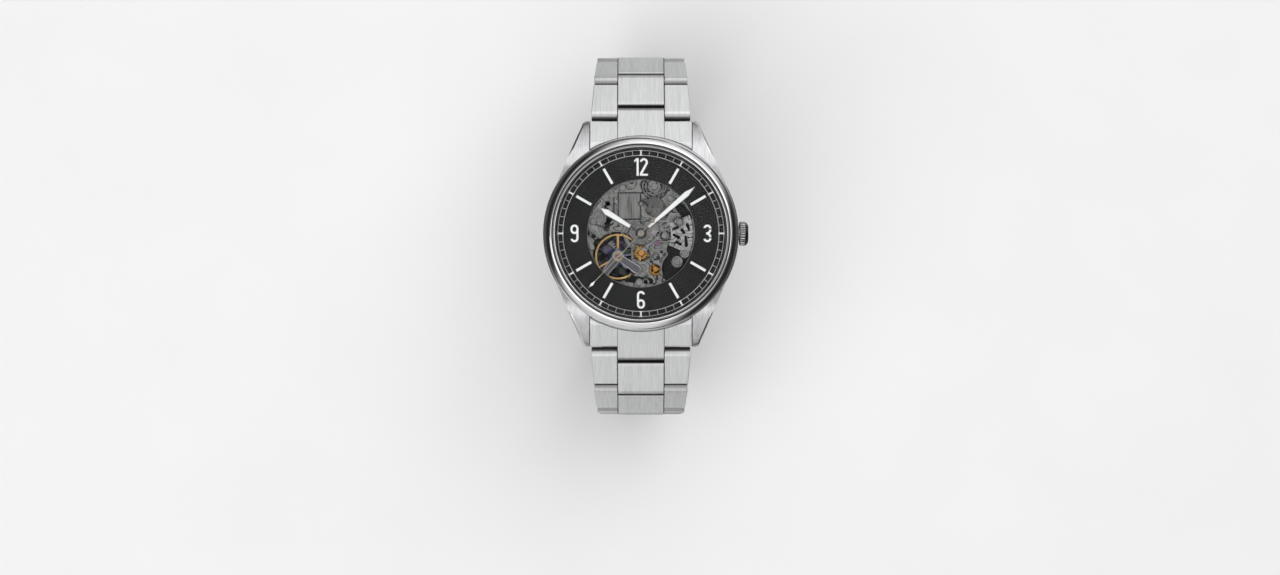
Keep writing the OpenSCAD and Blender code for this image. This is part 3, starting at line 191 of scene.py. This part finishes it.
TABLE_HALF = 3.0
table = bmesh.new()
bmesh.ops.create_grid(table, x_segments=1, y_segments=1, size=TABLE_HALF)
bmesh.ops.translate(table, verts=table.verts, vec=(0, 0, table_top))
table_mesh = bpy.data.meshes.new("table")
table.to_mesh(table_mesh)
table_object = bpy.data.objects.new("table", table_mesh)
bpy.context.scene.collection.objects.link(table_object)
paper, paper_shader, where = finish("paper", grey(0.9), 0, 0.8, Specular_IOR_Level=0.0)
x = where.node("ShaderNodeSeparateXYZ", {}, {"Vector": where}, 0)
y = where.node("ShaderNodeSeparateXYZ", {}, {"Vector": where}, 1)
# Seen in the steel's reflections, the table is painted dark, but for a pale strip square to the dark walls'
# line a few centimetres from the watch: painted dark reflections. The camera sees it pale.
aside = (DARK_Y * y + DARK_X * x).math("ABSOLUTE").eased(0.04, 0.10)
ahead = (DARK_Y * x - DARK_X * y).math("ABSOLUTE").eased(0.035, 0.06)
painted_reflection = (0.12 + 0.75 * ahead * (1 - aside)).tint(grey(0), grey(1))
plain = noise(where, (40, 40, 40)).tint(grey(0.92), grey(0.96))
glossy = where.node("ShaderNodeLightPath", output="Is Glossy Ray")
feed(paper_shader, Base_Color=glossy.tint(plain, painted_reflection))
table_mesh.materials.append(paper)


# ---- Case ----
# The middle of the case with its four lugs, milled from one bar of steel. It is finely brushed, its
# edges are eased, and each lug's outer edge has a wide polished bevel.
def darker(colour, share):
    """A share of a colour, opaque."""
    return tuple(share * c for c in colour[:3]) + (1.0,)


# Painted shade in the gaps between links and on the lines between rows
def painted_gap_shade(where, base, dark):
    """Paints shade into a colour where a face leans towards the gap to the next piece, or lies on the line
    between rows.
    """
    shade_lean = where.node("ShaderNodeAttribute", {"attribute_name": "shade_lean"}, output="Fac")
    return shade_lean.eased(0.35, 1.0).tint(base, dark) if dark else base


def streaked(name, colour, rough, scale, depth, ends=None):
    """Steel or another metal with fine parallel lines. scale is small along the lines."""
    material, shader, where = finish(name, colour, 1.0, rough)
    lines = noise(where, scale, 4.0)
    broad = noise(where, tuple(s / 7 for s in scale), 2.0)
    wear = noise(where, (260, 260, 260), 2.0)
    mixed = lines * 0.7 + broad * 0.3
    brushed = mixed.eased(0.3, 0.7).tint(darker(colour, 0.78), colour)
    # Painted shade where a piece's faces lean into the gaps, if ends is given
    feed(shader, Base_Color=painted_gap_shade(where, brushed, ends),
         Roughness=rough + 0.16 * (mixed - 0.5) + 0.08 * (wear - 0.5),
         Normal=relief(mixed, depth))
    return material


def polished(name, colour, rough, ends=None):
    """Mirror finish with the faint haze and hairlines of wear."""
    material, shader, where = finish(name, colour, 1.0, rough)
    haze = noise(where, (180, 180, 180), 3.0)
    hairs = noise(where, (9000, 1400, 9000), 2.0, (0, 0, 0.6))
    hazed = haze.tint(darker(colour, 0.94), colour)
    # Painted shade where a piece's faces lean into the gaps, if ends is given
    feed(shader, Roughness=rough + 0.10 * haze.eased(0.45, 0.8) + 0.05 * hairs.eased(0.55, 0.8),
         Base_Color=painted_gap_shade(where, hazed, ends),
         Normal=relief(hairs, 1.5e-6))
    return material


def clean_copy(node):
    """The shape of a CAD node with its triangles joined and its flat faces made whole."""
    shape = bmesh.new()
    shape.from_mesh(frame["nodes"][node].data)
    bmesh.ops.remove_doubles(shape, verts=shape.verts, dist=1e-6)
    bmesh.ops.dissolve_limit(shape, angle_limit=radians(0.2), verts=shape.verts, edges=shape.edges,
                             use_dissolve_boundaries=False, delimit=set())
    return shape


def ease(shape, width, segments=2, steepest=40, chosen=None):
    """Eases the shape's sharp outer edges and gives the eased faces the second material.
    steepest is the angle in degrees past which an edge is sharp, and chosen picks among those edges."""
    edges = [e for e in shape.edges if e.is_manifold and e.calc_face_angle_signed(0) > radians(steepest)]
    edges = [e for e in edges if chosen is None or chosen(e)]
    cut = bmesh.ops.bevel(shape, geom=edges, offset=width, offset_type="OFFSET", affect="EDGES",
                          segments=segments, profile=0.5, material=-1, clamp_overlap=False)
    for face in cut["faces"]:
        face.material_index = 1
    return shape


def both_ends(test):
    """Chooses the edges at both of whose ends a test of the place holds."""
    return lambda edge: all(test(v.co) for v in edge.verts)


def piece(shape, name, body, materials, node, sharp=32):
    """Makes a finished shape into a piece that moves with a body and stands for a CAD node.
    sharp is the angle in degrees past which an edge isn't shaded smooth."""
    for face in shape.faces:
        face.smooth = True
    for edge in shape.edges:
        edge.smooth = edge.is_manifold and edge.calc_face_angle(0) < radians(sharp)
    mesh = bpy.data.meshes.new(name)
    shape.to_mesh(mesh)
    shape.free()
    for material in materials:
        mesh.materials.append(material)
    made = bpy.data.objects.new(name, mesh)
    bpy.context.scene.collection.objects.link(made)
    shading = made.modifiers.new("even_shading", "WEIGHTED_NORMAL")
    shading.keep_sharp, shading.weight = True, 100
    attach(made, body)
    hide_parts(node)


def dress(material, *names):
    """Gives CAD nodes a finish."""
    for name in names:
        mesh = frame["nodes"][name].data
        mesh.materials.clear()
        mesh.materials.append(material)


# Half the gap between the lugs, where their outer bevels and their eased edges start along Y, how far
# below the dial the bevels reach, and the widths of both
LUG_INNER = 0.011
BEVEL_FROM = 0.0165
EASED_FROM = 0.0195
BEVEL_DEPTH = 0.0056
LUG_BEVEL = 0.0005
LUG_EDGE = 0.00012
mirror_steel = polished("mirror_steel", (0.64, 0.64, 0.65, 1.0), 0.12)
case = clean_copy("case_middle")
ease(case, LUG_BEVEL, segments=3, steepest=35, chosen=both_ends(
    lambda c: abs(c.x) > LUG_INNER + 0.0008 and abs(c.y) > BEVEL_FROM and c.z > dial_top - BEVEL_DEPTH))
ease(case, LUG_EDGE, steepest=50, chosen=both_ends(
    lambda c: abs(c.x) > LUG_INNER - 0.0002 and abs(c.y) > EASED_FROM))
case_steel = streaked("case_steel", (0.54, 0.54, 0.55, 1.0), 0.24, (3000, 160, 900), 2e-6)
piece(case, "case", "head", [case_steel, mirror_steel], "case_middle")

# ---- Bezel and crystal ----
# A turned and polished steel ring, pressed on the case, holds a low-domed sapphire in a thin grey
# gasket. A second flat sapphire closes the back.
dress(polished("bezel_steel", (0.70, 0.70, 0.71, 1.0), 0.06), "bezel")

rubber, rubber_shader, where = finish("rubber", grey(0.22), 0, 0.5)
powdery = noise(where, (900, 900, 900))
feed(rubber_shader, Roughness=0.4 + 0.2 * powdery, Base_Color=powdery.tint(grey(0.18), grey(0.26)))
dress(rubber, "gaskets")


def glass(name, tint, rough):
    """Clear glass with its thin coating, which lets the lamps through to what lies under it."""
    material, shader, where = finish(name, tint, 0, rough, Transmission_Weight=1.0, IOR=1.25,
                                     Specular_Tint=grey(0.5))
    smears = noise(where, (120, 120, 120), 3.0)
    feed(shader, Roughness=rough + 0.01 * smears)
    tree = material.node_tree
    clear = where.node("ShaderNodeBsdfTransparent", {}, {"Color": tint})
    lamp_ray = where.node("ShaderNodeLightPath", output="Is Shadow Ray")
    both = where.node("ShaderNodeMixShader", {}, {0: lamp_ray, 1: Wire(tree, shader.outputs[0]), 2: clear})
    tree.links.new(both.output, tree.nodes["Material Output"].inputs["Surface"])
    return material


dress(glass("sapphire", (0.985, 0.99, 1.0, 1.0), 0.0), "crystal", "case_back_window")

# ---- Flange and dial ----
# A black anodised flange rises from the dial to the crystal. The dial is brass under matt black
# lacquer, with its open centre cut clean.
black_flange, flange_shader, where = finish("black_flange", grey(0.02), 0.2, 0.5)
rings = noise(where, (200, 200, 9000), 3.0)
feed(flange_shader, Roughness=0.45 + 0.2 * rings, Base_Color=rings.tint(grey(0.01), grey(0.03)))
dress(black_flange, "rehaut_ring")

FINE_EDGE = 0.00006
lacquer, lacquer_shader, where = finish("lacquer", grey(0.015), 0, 0.5, Specular_IOR_Level=0.1)
grain = noise(where, (6500, 6500, 6500), 4.0)
mottle = noise(where, (240, 240, 240), 3.0)
feed(lacquer_shader, Base_Color=(0.5 * grain + 0.5 * mottle).tint(grey(0.008), grey(0.021)),
     Roughness=0.45 + 0.2 * grain, Normal=relief(grain, 6e-6))
cut_steel = streaked("cut_steel", (0.22, 0.22, 0.23, 1.0), 0.35, (400, 400, 9000), 2e-6)
dial = ease(clean_copy("dial"), FINE_EDGE)
piece(dial, "dial_plate", "head", [lacquer, cut_steel], "dial")

# ---- Dial markers ----
# Applied figures and batons, faceted round their tops and filled with white, and a minute track
# printed in white.
white_fill, fill_shader, where = finish("white_fill", grey(0.86), 0, 0.35, Coat_Weight=0.3)
speck = noise(where, (5200, 5200, 5200), 3.0)
x = where.node("ShaderNodeSeparateXYZ", {}, {"Vector": where}, 0)
y = where.node("ShaderNodeSeparateXYZ", {}, {"Vector": where}, 1)
# The minute track's inner radius, and how far to each side of an hour its longer stroke reaches
TRACK_INNER = 0.0163
HOUR_REACH = radians(4 / 3)
HOURS = 12
on_track = (x * x + y * y).math("SQRT") > TRACK_INNER
at_hour = (x.math("ARCTAN2", y, x) * HOURS).math("COSINE") > cos(HOURS * HOUR_REACH)
printed = speck.tint(grey(0.32), grey(0.44))
filled = speck.tint((0.80, 0.80, 0.79, 1), (0.90, 0.90, 0.89, 1))
feed(fill_shader, Base_Color=(on_track * (1 - at_hour)).tint(filled, printed),
     Roughness=0.3 + 0.15 * speck, Normal=relief(speck, 3e-6))
white_edge, edge_shader, where = finish("white_edge", grey(0.78), 0.35, 0.22)
feed(edge_shader, Roughness=0.18 + 0.12 * noise(where, (1500, 1500, 1500)))
# The print's top above the dial: only the applied figures and batons rise past it
PRINT_TOP = 0.0002
markers = ease(clean_copy("dial_markers"), FINE_EDGE, segments=1, steepest=50,
               chosen=both_ends(lambda c: c.z > dial_top + PRINT_TOP))
piece(markers, "figures_and_batons", "head", [white_fill, white_edge], "dial_markers")

# ---- Hands ----
# Stamped steel hands on gunmetal stalks. The hour and minute blades are faceted and filled with
# white; the seconds hand is thin, with a white lozenge near its tip.
# The bevel's width, and how far from the centre each hand's bare stalk ends
BLADE_BEVEL = 0.00013
STALKS = {"hour_hand": 0.0027, "minute_hand": 0.0021}
gunmetal = streaked("gunmetal", (0.16, 0.16, 0.165, 1.0), 0.3, (3000, 3000, 3000), 1.5e-6)
gun_edge = polished("gun_edge", (0.42, 0.42, 0.43, 1.0), 0.12)


def cut_across(shape, place, normal):
    """Cuts a shape's faces where a plane crosses them, and keeps both sides."""
    bmesh.ops.bisect_plane(shape, geom=shape.verts[:] + shape.edges[:] + shape.faces[:], dist=1e-7,
                           plane_co=place, plane_no=normal)


def tip_of(hand):
    """The point of a hand that is farthest from its centre, level with it."""
    return max((v.co for v in hand.verts), key=lambda c: c.xy.length).xy.to_3d()


for node, stalk in STALKS.items():
    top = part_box(node)[1][2]
    hand = ease(clean_copy(node), BLADE_BEVEL, segments=1, steepest=50,
                chosen=both_ends(lambda c: c.z > top - 1e-5))
    along = tip_of(hand).normalized()
    cut_across(hand, along * stalk, along)
    for face in hand.faces:
        filled_part = face.calc_center_median().dot(along) > stalk
        face.material_index += 2 * filled_part
    piece(hand, node.replace("_hand", "_blade"), node.replace("_hand", ""),
          [gunmetal, gun_edge, white_fill, white_edge], node, sharp=10)

# The lozenge's two ends, measured back from the tip
LOZENGE = (0.0021, 0.0005)
seconds = clean_copy("seconds_hand")
tip = tip_of(seconds)
along = tip.normalized()
lozenge = [tip.length - back for back in LOZENGE]
for end in lozenge:
    cut_across(seconds, along * end, along)
for face in seconds.faces:
    face.material_index = int(lozenge[0] < face.calc_center_median().dot(along) < lozenge[1])
warm_steel = streaked("warm_steel", (0.42, 0.37, 0.29, 1.0), 0.25, (3000, 3000, 3000), 1e-6)
piece(seconds, "seconds_blade", "seconds", [warm_steel, white_fill], "seconds_hand", sharp=20)

# ---- Crown and stem ----
# A fluted steel crown screwed to its stem, which slides and turns in a tube pressed into the case.
# The stem carries two pinions and is held by a stamped lever.
FLUTE_EDGE = 0.00005
crown = ease(clean_copy("crown"), FLUTE_EDGE, segments=1, steepest=60)
crown_steel = polished("crown_steel", (0.13, 0.13, 0.135, 1.0), 0.14)
piece(crown, "fluted_crown", "crown_stem", [crown_steel, mirror_steel], "crown")
dress(streaked("turned_steel", (0.55, 0.55, 0.56, 1.0), 0.28, (9000, 300, 300), 2e-6),
      "winding_stem", "crown_tube", "setting_lever", "lug_spring_bars")

# ---- Plates and bridges ----
# The main plate and bridges are rhodium-grey brass with bright bevelled edges. The plate's colour and
# bump paint shallow curved steps, each with a painted highlight on one side and painted shade on the
# other, but for the brushed block over the barrel and the near-black grounds sunk at two, four and six
# o'clock; its engraved floors get painted shade. The bridges are striped below, and where they face
# the dial they get painted shade.
PLATE_EDGE = 0.00008
BRIDGE_EDGE = 0.00016
COVER_EDGE = 0.00007
# The low and high corner of the brushed block, how deep below the dial's top the engraved floors lie
# (from and to), and how deep the grounds lie
BRUSHED_BLOCK = ((-0.0049, 0.00295), (0, 0.0087))
ENGRAVED = (0.00065, 0.0005)
GROUND_DEPTH = 0.00125
STRIPE_PITCH = 0.0016
bright_bevel = polished("bright_bevel", (0.40, 0.40, 0.395, 1.0), 0.14)


def frosted(name, light, block=None):
    """Matt metal whose colour and bump paint shallow curved steps, each with a random tone, a painted
    highlight on one side of its line and painted shade on the other. block is the low and high corner of
    a part that is brushed along Y, on a piece whose engraved floors get painted shade."""
    material, shader, where = finish(name, light, 1.0, 0.4)
    cloud = noise(where, (1300, 1300, 1300), 5.0)
    grain = noise(where, (9000, 9000, 9000), 2.0)
    level = noise(where, (230, 230, 230), 1.0) * 14
    across = level.math("FRACT")
    floor = level.math("FLOOR")
    tone = floor.node("ShaderNodeTexWhiteNoise", {"noise_dimensions": "1D"}, {"W": floor}, "Value")
    # A painted highlight on one side of each step's line and painted shade on the other
    edges = 0.3 * across.eased(0.7, 0.95) - 0.4 * (1 - across.eased(0.0, 0.25))
    shade = tone * 0.35 + cloud * 0.5 + edges + 0.08
    if block:
        x = where.node("ShaderNodeSeparateXYZ", {}, {"Vector": where}, 0)
        y = where.node("ShaderNodeSeparateXYZ", {}, {"Vector": where}, 1)
        inside = (x > block[0][0]) * (x < block[1][0]) * (y > block[0][1]) * (y < block[1][1])
        brushed = noise(where, (5200, 220, 220), 4.0) * 0.6 + noise(where, (900, 120, 120), 2.0) * 0.4
        shade = shade * (1 - inside) + (brushed + 0.06) * inside
        z = where.node("ShaderNodeSeparateXYZ", {}, {"Vector": where}, 2)
        # Painted shade on the engraved floors
        engraved_shade = (z > dial_top - ENGRAVED[0]) * (z < dial_top - ENGRAVED[1])
        shade = shade - 0.25 * engraved_shade
    feed(shader, Base_Color=shade.eased(0.22, 0.72).tint(darker(light, 0.06), light),
         Roughness=0.28 + 0.2 * cloud + 0.08 * grain, Normal=relief(shade + 0.15 * grain, 4e-5))
    return material


def striped(name, colour, pitch, turn):
    """Broad parallel stripes, each ground with fine slanting lines."""
    material, shader, where = finish(name, colour, 1.0, 0.3)
    turned = where.node("ShaderNodeMapping", {}, {"Vector": where, "Rotation": (0, 0, turn)})
    x = turned.node("ShaderNodeSeparateXYZ", {}, {"Vector": turned}, 0)
    stripe = (x / pitch).math("FRACT")
    fine = noise(turned, (7000, 500, 500), 3.0, (0, 0, 0.5))
    feed(shader, Base_Color=(stripe * 0.5 + fine * 0.5).eased(0.2, 0.9).tint(darker(colour, 0.6), colour),
         Roughness=0.22 + 0.2 * stripe + 0.1 * fine, Normal=relief(stripe * 0.8 + fine * 0.1, 2.5e-5))
    return material


plate_grey = frosted("plate_grey", (0.22, 0.22, 0.21, 1.0), BRUSHED_BLOCK)
# Near black, for the grounds sunk in the plate
near_black, near_black_shader, where = finish("near_black", grey(0.01), 0.0, 0.6, Specular_IOR_Level=0.15)
feed(near_black_shader, Base_Color=noise(where, (900, 900, 900)).tint(grey(0.003), grey(0.010)),
     Roughness=0.5 + 0.2 * noise(where, (3000, 3000, 3000)))
# Painted shade, near black with violet and green tints, for the faces of bridges and rotor that look into
# the movement's dark inside
shaded, shaded_shader, where = finish("shaded_side", grey(0.04), 0.8, 0.4)
tints = noise(where, (420, 420, 420), 2.0).eased(0.4, 0.6).tint((0.12, 0.09, 0.17, 1), (0.09, 0.12, 0.09, 1))
depths = noise(where, (700, 700, 700), 3.0).eased(0.4, 0.62)
feed(shaded_shader, Base_Color=depths.tint(grey(0.012), tints),
     Roughness=0.3 + 0.25 * noise(where, (2500, 2500, 2500)))
plate = ease(clean_copy("main_plate"), PLATE_EDGE, segments=1, steepest=50,
             chosen=both_ends(lambda c: c.z > dial_top - ENGRAVED[1]))
for face in plate.faces:
    depth = dial_top - face.calc_center_median().z
    if face.normal.z > 0.9 and abs(depth - GROUND_DEPTH) < 0.0001:
        face.material_index = 2
piece(plate, "plate", "head", [plate_grey, bright_bevel, near_black], "main_plate")
bridge_grey = striped("bridge_grey", (0.16, 0.16, 0.165, 1.0), STRIPE_PITCH, radians(35))
for node in ["barrel_bridge", "train_bridge"]:
    bridge = ease(clean_copy(node), BRIDGE_EDGE, segments=1, steepest=60)
    # Faces that look towards the dial get painted shade
    for face in bridge.faces:
        if face.normal.z > 0.9:
            face.material_index = 2
    piece(bridge, node.replace("_", "_arm_", 1), "head", [bridge_grey, bright_bevel, shaded],
          node)
cover = ease(clean_copy("keyless_cover"), COVER_EDGE, segments=1, steepest=60)
cover_steel = frosted("cover_steel", (0.36, 0.36, 0.35, 1.0))
piece(cover, "winding_cover", "head", [cover_steel, bright_bevel], "keyless_cover")

holder, holder_shader, where = finish("holder_black", grey(0.03), 0.7, 0.4)
feed(holder_shader, Roughness=0.35 + 0.15 * noise(where, (900, 900, 900)))
dress(holder, "movement_ring")
# The jewels are pale violet, but for the amber one of the escape wheel and the steel bush on the
# boss at four o'clock, which alone lies past this X
BUSH_FROM = 0.006
ruby, ruby_shader, where = finish("ruby", (0.2, 0.08, 0.16, 1.0), 0, 0.08, Coat_Weight=1.0)
x = where.node("ShaderNodeSeparateXYZ", {}, {"Vector": where}, 0)
bush = x > BUSH_FROM
escape_low, escape_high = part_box("escape_wheel")
flow = noise(where, (1500, 1500, 1500))
stone = flow.tint((0.10, 0.05, 0.10, 1), (0.24, 0.14, 0.20, 1))
amber = (x > escape_low.x) * (x < escape_high.x)
stone = amber.tint(stone, flow.tint((0.42, 0.15, 0.03, 1), (0.62, 0.28, 0.06, 1)))
feed(ruby_shader, Base_Color=bush.tint(stone, grey(0.3)), Metallic=bush,
     Roughness=0.05 + 0.08 * noise(where, (4000, 4000, 4000)) + 0.15 * bush)
dress(ruby, "jewels")
screw_steel = polished("screw_steel", (0.42, 0.42, 0.43, 1.0), 0.14)
dress(screw_steel, "plate_screws")

# ---- Going train ----
# Rhodium-grey wheels, with a gilt escape wheel and a gilt reversing wheel, all grained in circles
# about their own centres, on steel arbors.


def circular_grained(name, colour, middle, rough=0.24, setting=None):
    """Steel or plated brass, grained in circles about a point. setting is the radius and colour of a
    part round that point."""
    material, shader, where = finish(name, colour, 1.0, rough)
    moved = where.node("ShaderNodeVectorMath", {"operation": "SUBTRACT"}, {0: where, 1: tuple(middle)})
    flat = moved.node("ShaderNodeVectorMath", {"operation": "MULTIPLY"}, {0: moved, 1: (1, 1, 0)})
    away = flat.node("ShaderNodeVectorMath", {"operation": "LENGTH"}, {0: flat}, "Value")
    rings = away.node("ShaderNodeTexNoise", {"noise_dimensions": "1D"},
                      {"W": away * 9000, "Scale": 1.0, "Detail": 3.0})
    tone = noise(where, (500, 500, 500), 3.0)
    plated = (rings * 0.5 + tone * 0.5).eased(0.3, 0.7).tint(darker(colour, 0.68), colour)
    if setting:
        plated = (away < setting[0]).tint(plated, setting[1])
    feed(shader, Base_Color=plated,
         Roughness=rough + 0.12 * (rings - 0.5) + 0.1 * (tone - 0.5), Normal=relief(rings, 3e-6))
    return material


def middle_of(node):
    """The middle of a CAD node's box."""
    low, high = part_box(node)
    return (low + high) / 2


for node in ["centre_wheel", "third_wheel", "fourth_wheel", "hour_wheel", "minute_wheel"]:
    dress(circular_grained(f"plated_{node}", (0.34, 0.33, 0.32, 1.0), middle_of(node)), node)
for node in ["escape_wheel", "reversing_wheel"]:
    dress(circular_grained(f"gilt_{node}", (0.80, 0.42, 0.10, 1.0), middle_of(node), 0.22), node)
dress(circular_grained("drum_brass", (0.20, 0.195, 0.185, 1.0), middle_of("barrel"), 0.28), "barrel")
for node in ["ratchet_wheel", "crown_wheel"]:
    dress(circular_grained(f"sunray_{node}", (0.45, 0.45, 0.46, 1.0), middle_of(node), 0.2), node)
dress(gunmetal, "cannon_pinion")
dress(screw_steel, "pallet_fork")

# ---- Balance ----
# The balance is gold-coloured, its rim and three arms turned and polished, with a blued hairspring.
# It turns under a grey bridge of two arms, with a brass jewel setting where they meet.
BALANCE_EDGE = 0.00007
JEWEL_SETTING = 0.00105
balance = ease(clean_copy("balance_wheel"), BALANCE_EDGE, steepest=60)
balance_gold = circular_grained("balance_gold", (0.66, 0.43, 0.17, 1.0), middle_of("balance_wheel"), 0.2)
gold_edge = polished("gold_edge", (0.80, 0.54, 0.25, 1.0), 0.12)
piece(balance, "gold_balance", "balance", [balance_gold, gold_edge], "balance_wheel")
blued, blued_shader, where = finish("blued_steel", (0.06, 0.10, 0.30, 1.0), 1.0, 0.2)
feed(blued_shader, Base_Color=noise(where, (900, 900, 900)).tint(
    (0.04, 0.06, 0.22, 1), (0.10, 0.16, 0.42, 1)))
dress(blued, "hairspring")
cock_steel = circular_grained("cock_steel", (0.13, 0.125, 0.14, 1.0), middle_of("balance_wheel"), 0.36,
                              (JEWEL_SETTING, (0.26, 0.23, 0.11, 1.0)))
cock = ease(clean_copy("balance_bridge"), BRIDGE_EDGE, steepest=60)
piece(cock, "balance_cock", "head", [cock_steel, bright_bevel], "balance_bridge")

# ---- Rotor ----
# The winding rotor is a striped steel web with a heavy rim, milled in one piece. It turns on its ball
# bearing behind the case-back window, and its faces towards the dial get painted shade. Edges shorter
# than SMALL_EDGE stay sharp.
ROTOR_EDGE = 0.00008
SMALL_EDGE = 0.0004
ROTOR_PITCH = 0.0021
rotor = ease(clean_copy("rotor"), ROTOR_EDGE, segments=1, steepest=70,
             chosen=lambda e: e.calc_length() > SMALL_EDGE)
# Faces that look towards the dial get painted shade
for face in rotor.faces:
    if face.normal.z > 0.9:
        face.material_index = 2
rotor_stripes = striped("rotor_stripes", (0.58, 0.58, 0.59, 1.0), ROTOR_PITCH, radians(90))
piece(rotor, "winding_rotor", "rotor", [rotor_stripes, bright_bevel, shaded], "rotor")

# ---- Case back ----
# The back is a turned steel ring, grained in circles, that closes the case on its rubber ring. It has
# six notches for the key and holds the window.
BACK_EDGE = 0.00015
ring_steel = circular_grained("ring_steel", (0.60, 0.60, 0.61, 1.0), (0, 0, 0), 0.26)
back = ease(clean_copy("case_back"), BACK_EDGE, steepest=60)
piece(back, "screwed_back", "head", [ring_steel, mirror_steel], "case_back")

# ---- Bracelet ----
# Two end links and fourteen three-row links of solid steel, brushed along the bracelet. Their long
# edges are eased and polished, their rounded ends and the lines between rows get painted shade, and
# steel pins join the rows.
# The colour of the painted shade in the gaps between links and on the lines between rows
GAP_SHADE = grey(0.26)
# Half the middle row's width and half the width of the line between rows, which gets painted shade,
# where the end links' faces that look at the first link, and get painted shade, start along Y, and the
# length that only the middle row's cross edges exceed
MIDDLE_HALF = 0.005
GROOVE = 0.00012
END_FACES_FROM = 0.021
CROSS_EDGE = 0.009
ROUNDED_END = 0.0005
LINK_EDGE = 0.00013
END_LINK_EDGE = 0.00008
LINKS = 7
band_steel = streaked("band_steel", (0.69, 0.695, 0.70, 1.0), 0.38, (7000, 260, 260), 4e-6, GAP_SHADE)
edge_steel = polished("edge_steel", (0.56, 0.56, 0.57, 1.0), 0.25, GAP_SHADE)
pins = {joint["name"]: Vector(joint["pos_m"]) for joint in frame["joints"] if "pos_m" in joint}


def note_gap_shade(shape, along, chosen=lambda face: True):
    """Notes on each face how much painted shade it gets: how far it looks into the gap to the next piece, or
    to the next row, and more on the line between rows.
    """
    layer = shape.loops.layers.float.new("shade_lean")
    for face in shape.faces:
        off_row = abs(abs(face.calc_center_median().x) - MIDDLE_HALF)
        shade_lean = max(abs(face.normal.dot(along)) * chosen(face), abs(face.normal.x) * (off_row < 5 * GROOVE),
                   0.8 * (off_row < GROOVE))
        for loop in face.loops:
            loop[layer] = shade_lean
    return shape


ends = ease(clean_copy("end_links"), END_LINK_EDGE, steepest=45)
# Strips along the lines between rows, which get painted shade
for side in (-1, 1):
    for edge in (MIDDLE_HALF - GROOVE, MIDDLE_HALF + GROOVE):
        cut_across(ends, (side * edge, 0, 0), (1, 0, 0))
note_gap_shade(ends, Vector((0, 1, 0)), lambda face: abs(face.calc_center_median().y) > END_FACES_FROM)
piece(ends, "fitted_ends", "head", [band_steel, edge_steel], "end_links")
for half, way in [("12", 1), ("6", -1)]:
    numbers = range(1, LINKS + 1)
    line = [pins[f"bend_{half}_{number}"] for number in numbers]
    line.append(Vector((0, way * pins["clasp_bend"].y, pins["clasp_bend"].z)))
    for number, here, there in zip(numbers, line, line[1:]):
        node = f"link_{half}_{number}"
        link = ease(clean_copy(node), ROUNDED_END, segments=4, steepest=80,
                    chosen=lambda e: e.calc_length() > CROSS_EDGE)
        for face in link.faces:
            face.material_index = 0
        link = note_gap_shade(ease(link, LINK_EDGE, steepest=45), (there - here).normalized())
        piece(link, f"band_{half}_{number}", node, [band_steel, edge_steel], node)

# ---- Clasp ----
# A folding clasp of brushed steel. Two blades, bent to the wrist, fold under a cover that is pressed
# from sheet, and a sprung push button in each of its sides lets it go.
CLASP_EDGE = 0.00014
BUTTON_EDGE = 0.00012
for node, body in [("clasp_cover", "clasp_cover"), ("clasp_outer_blade", "clasp_outer"),
                   ("clasp_inner_blade", "clasp_inner")]:
    clasp = ease(clean_copy(node), CLASP_EDGE, steepest=60)
    piece(clasp, node.replace("clasp_", "folding_"), body, [band_steel, edge_steel], node)
for node, body in [("clasp_button_left", "button_left"), ("clasp_button_right", "button_right")]:
    button = ease(clean_copy(node), BUTTON_EDGE, segments=3, steepest=60)
    piece(button, node.replace("clasp_button", "push"), body, [mirror_steel, mirror_steel],
          node)
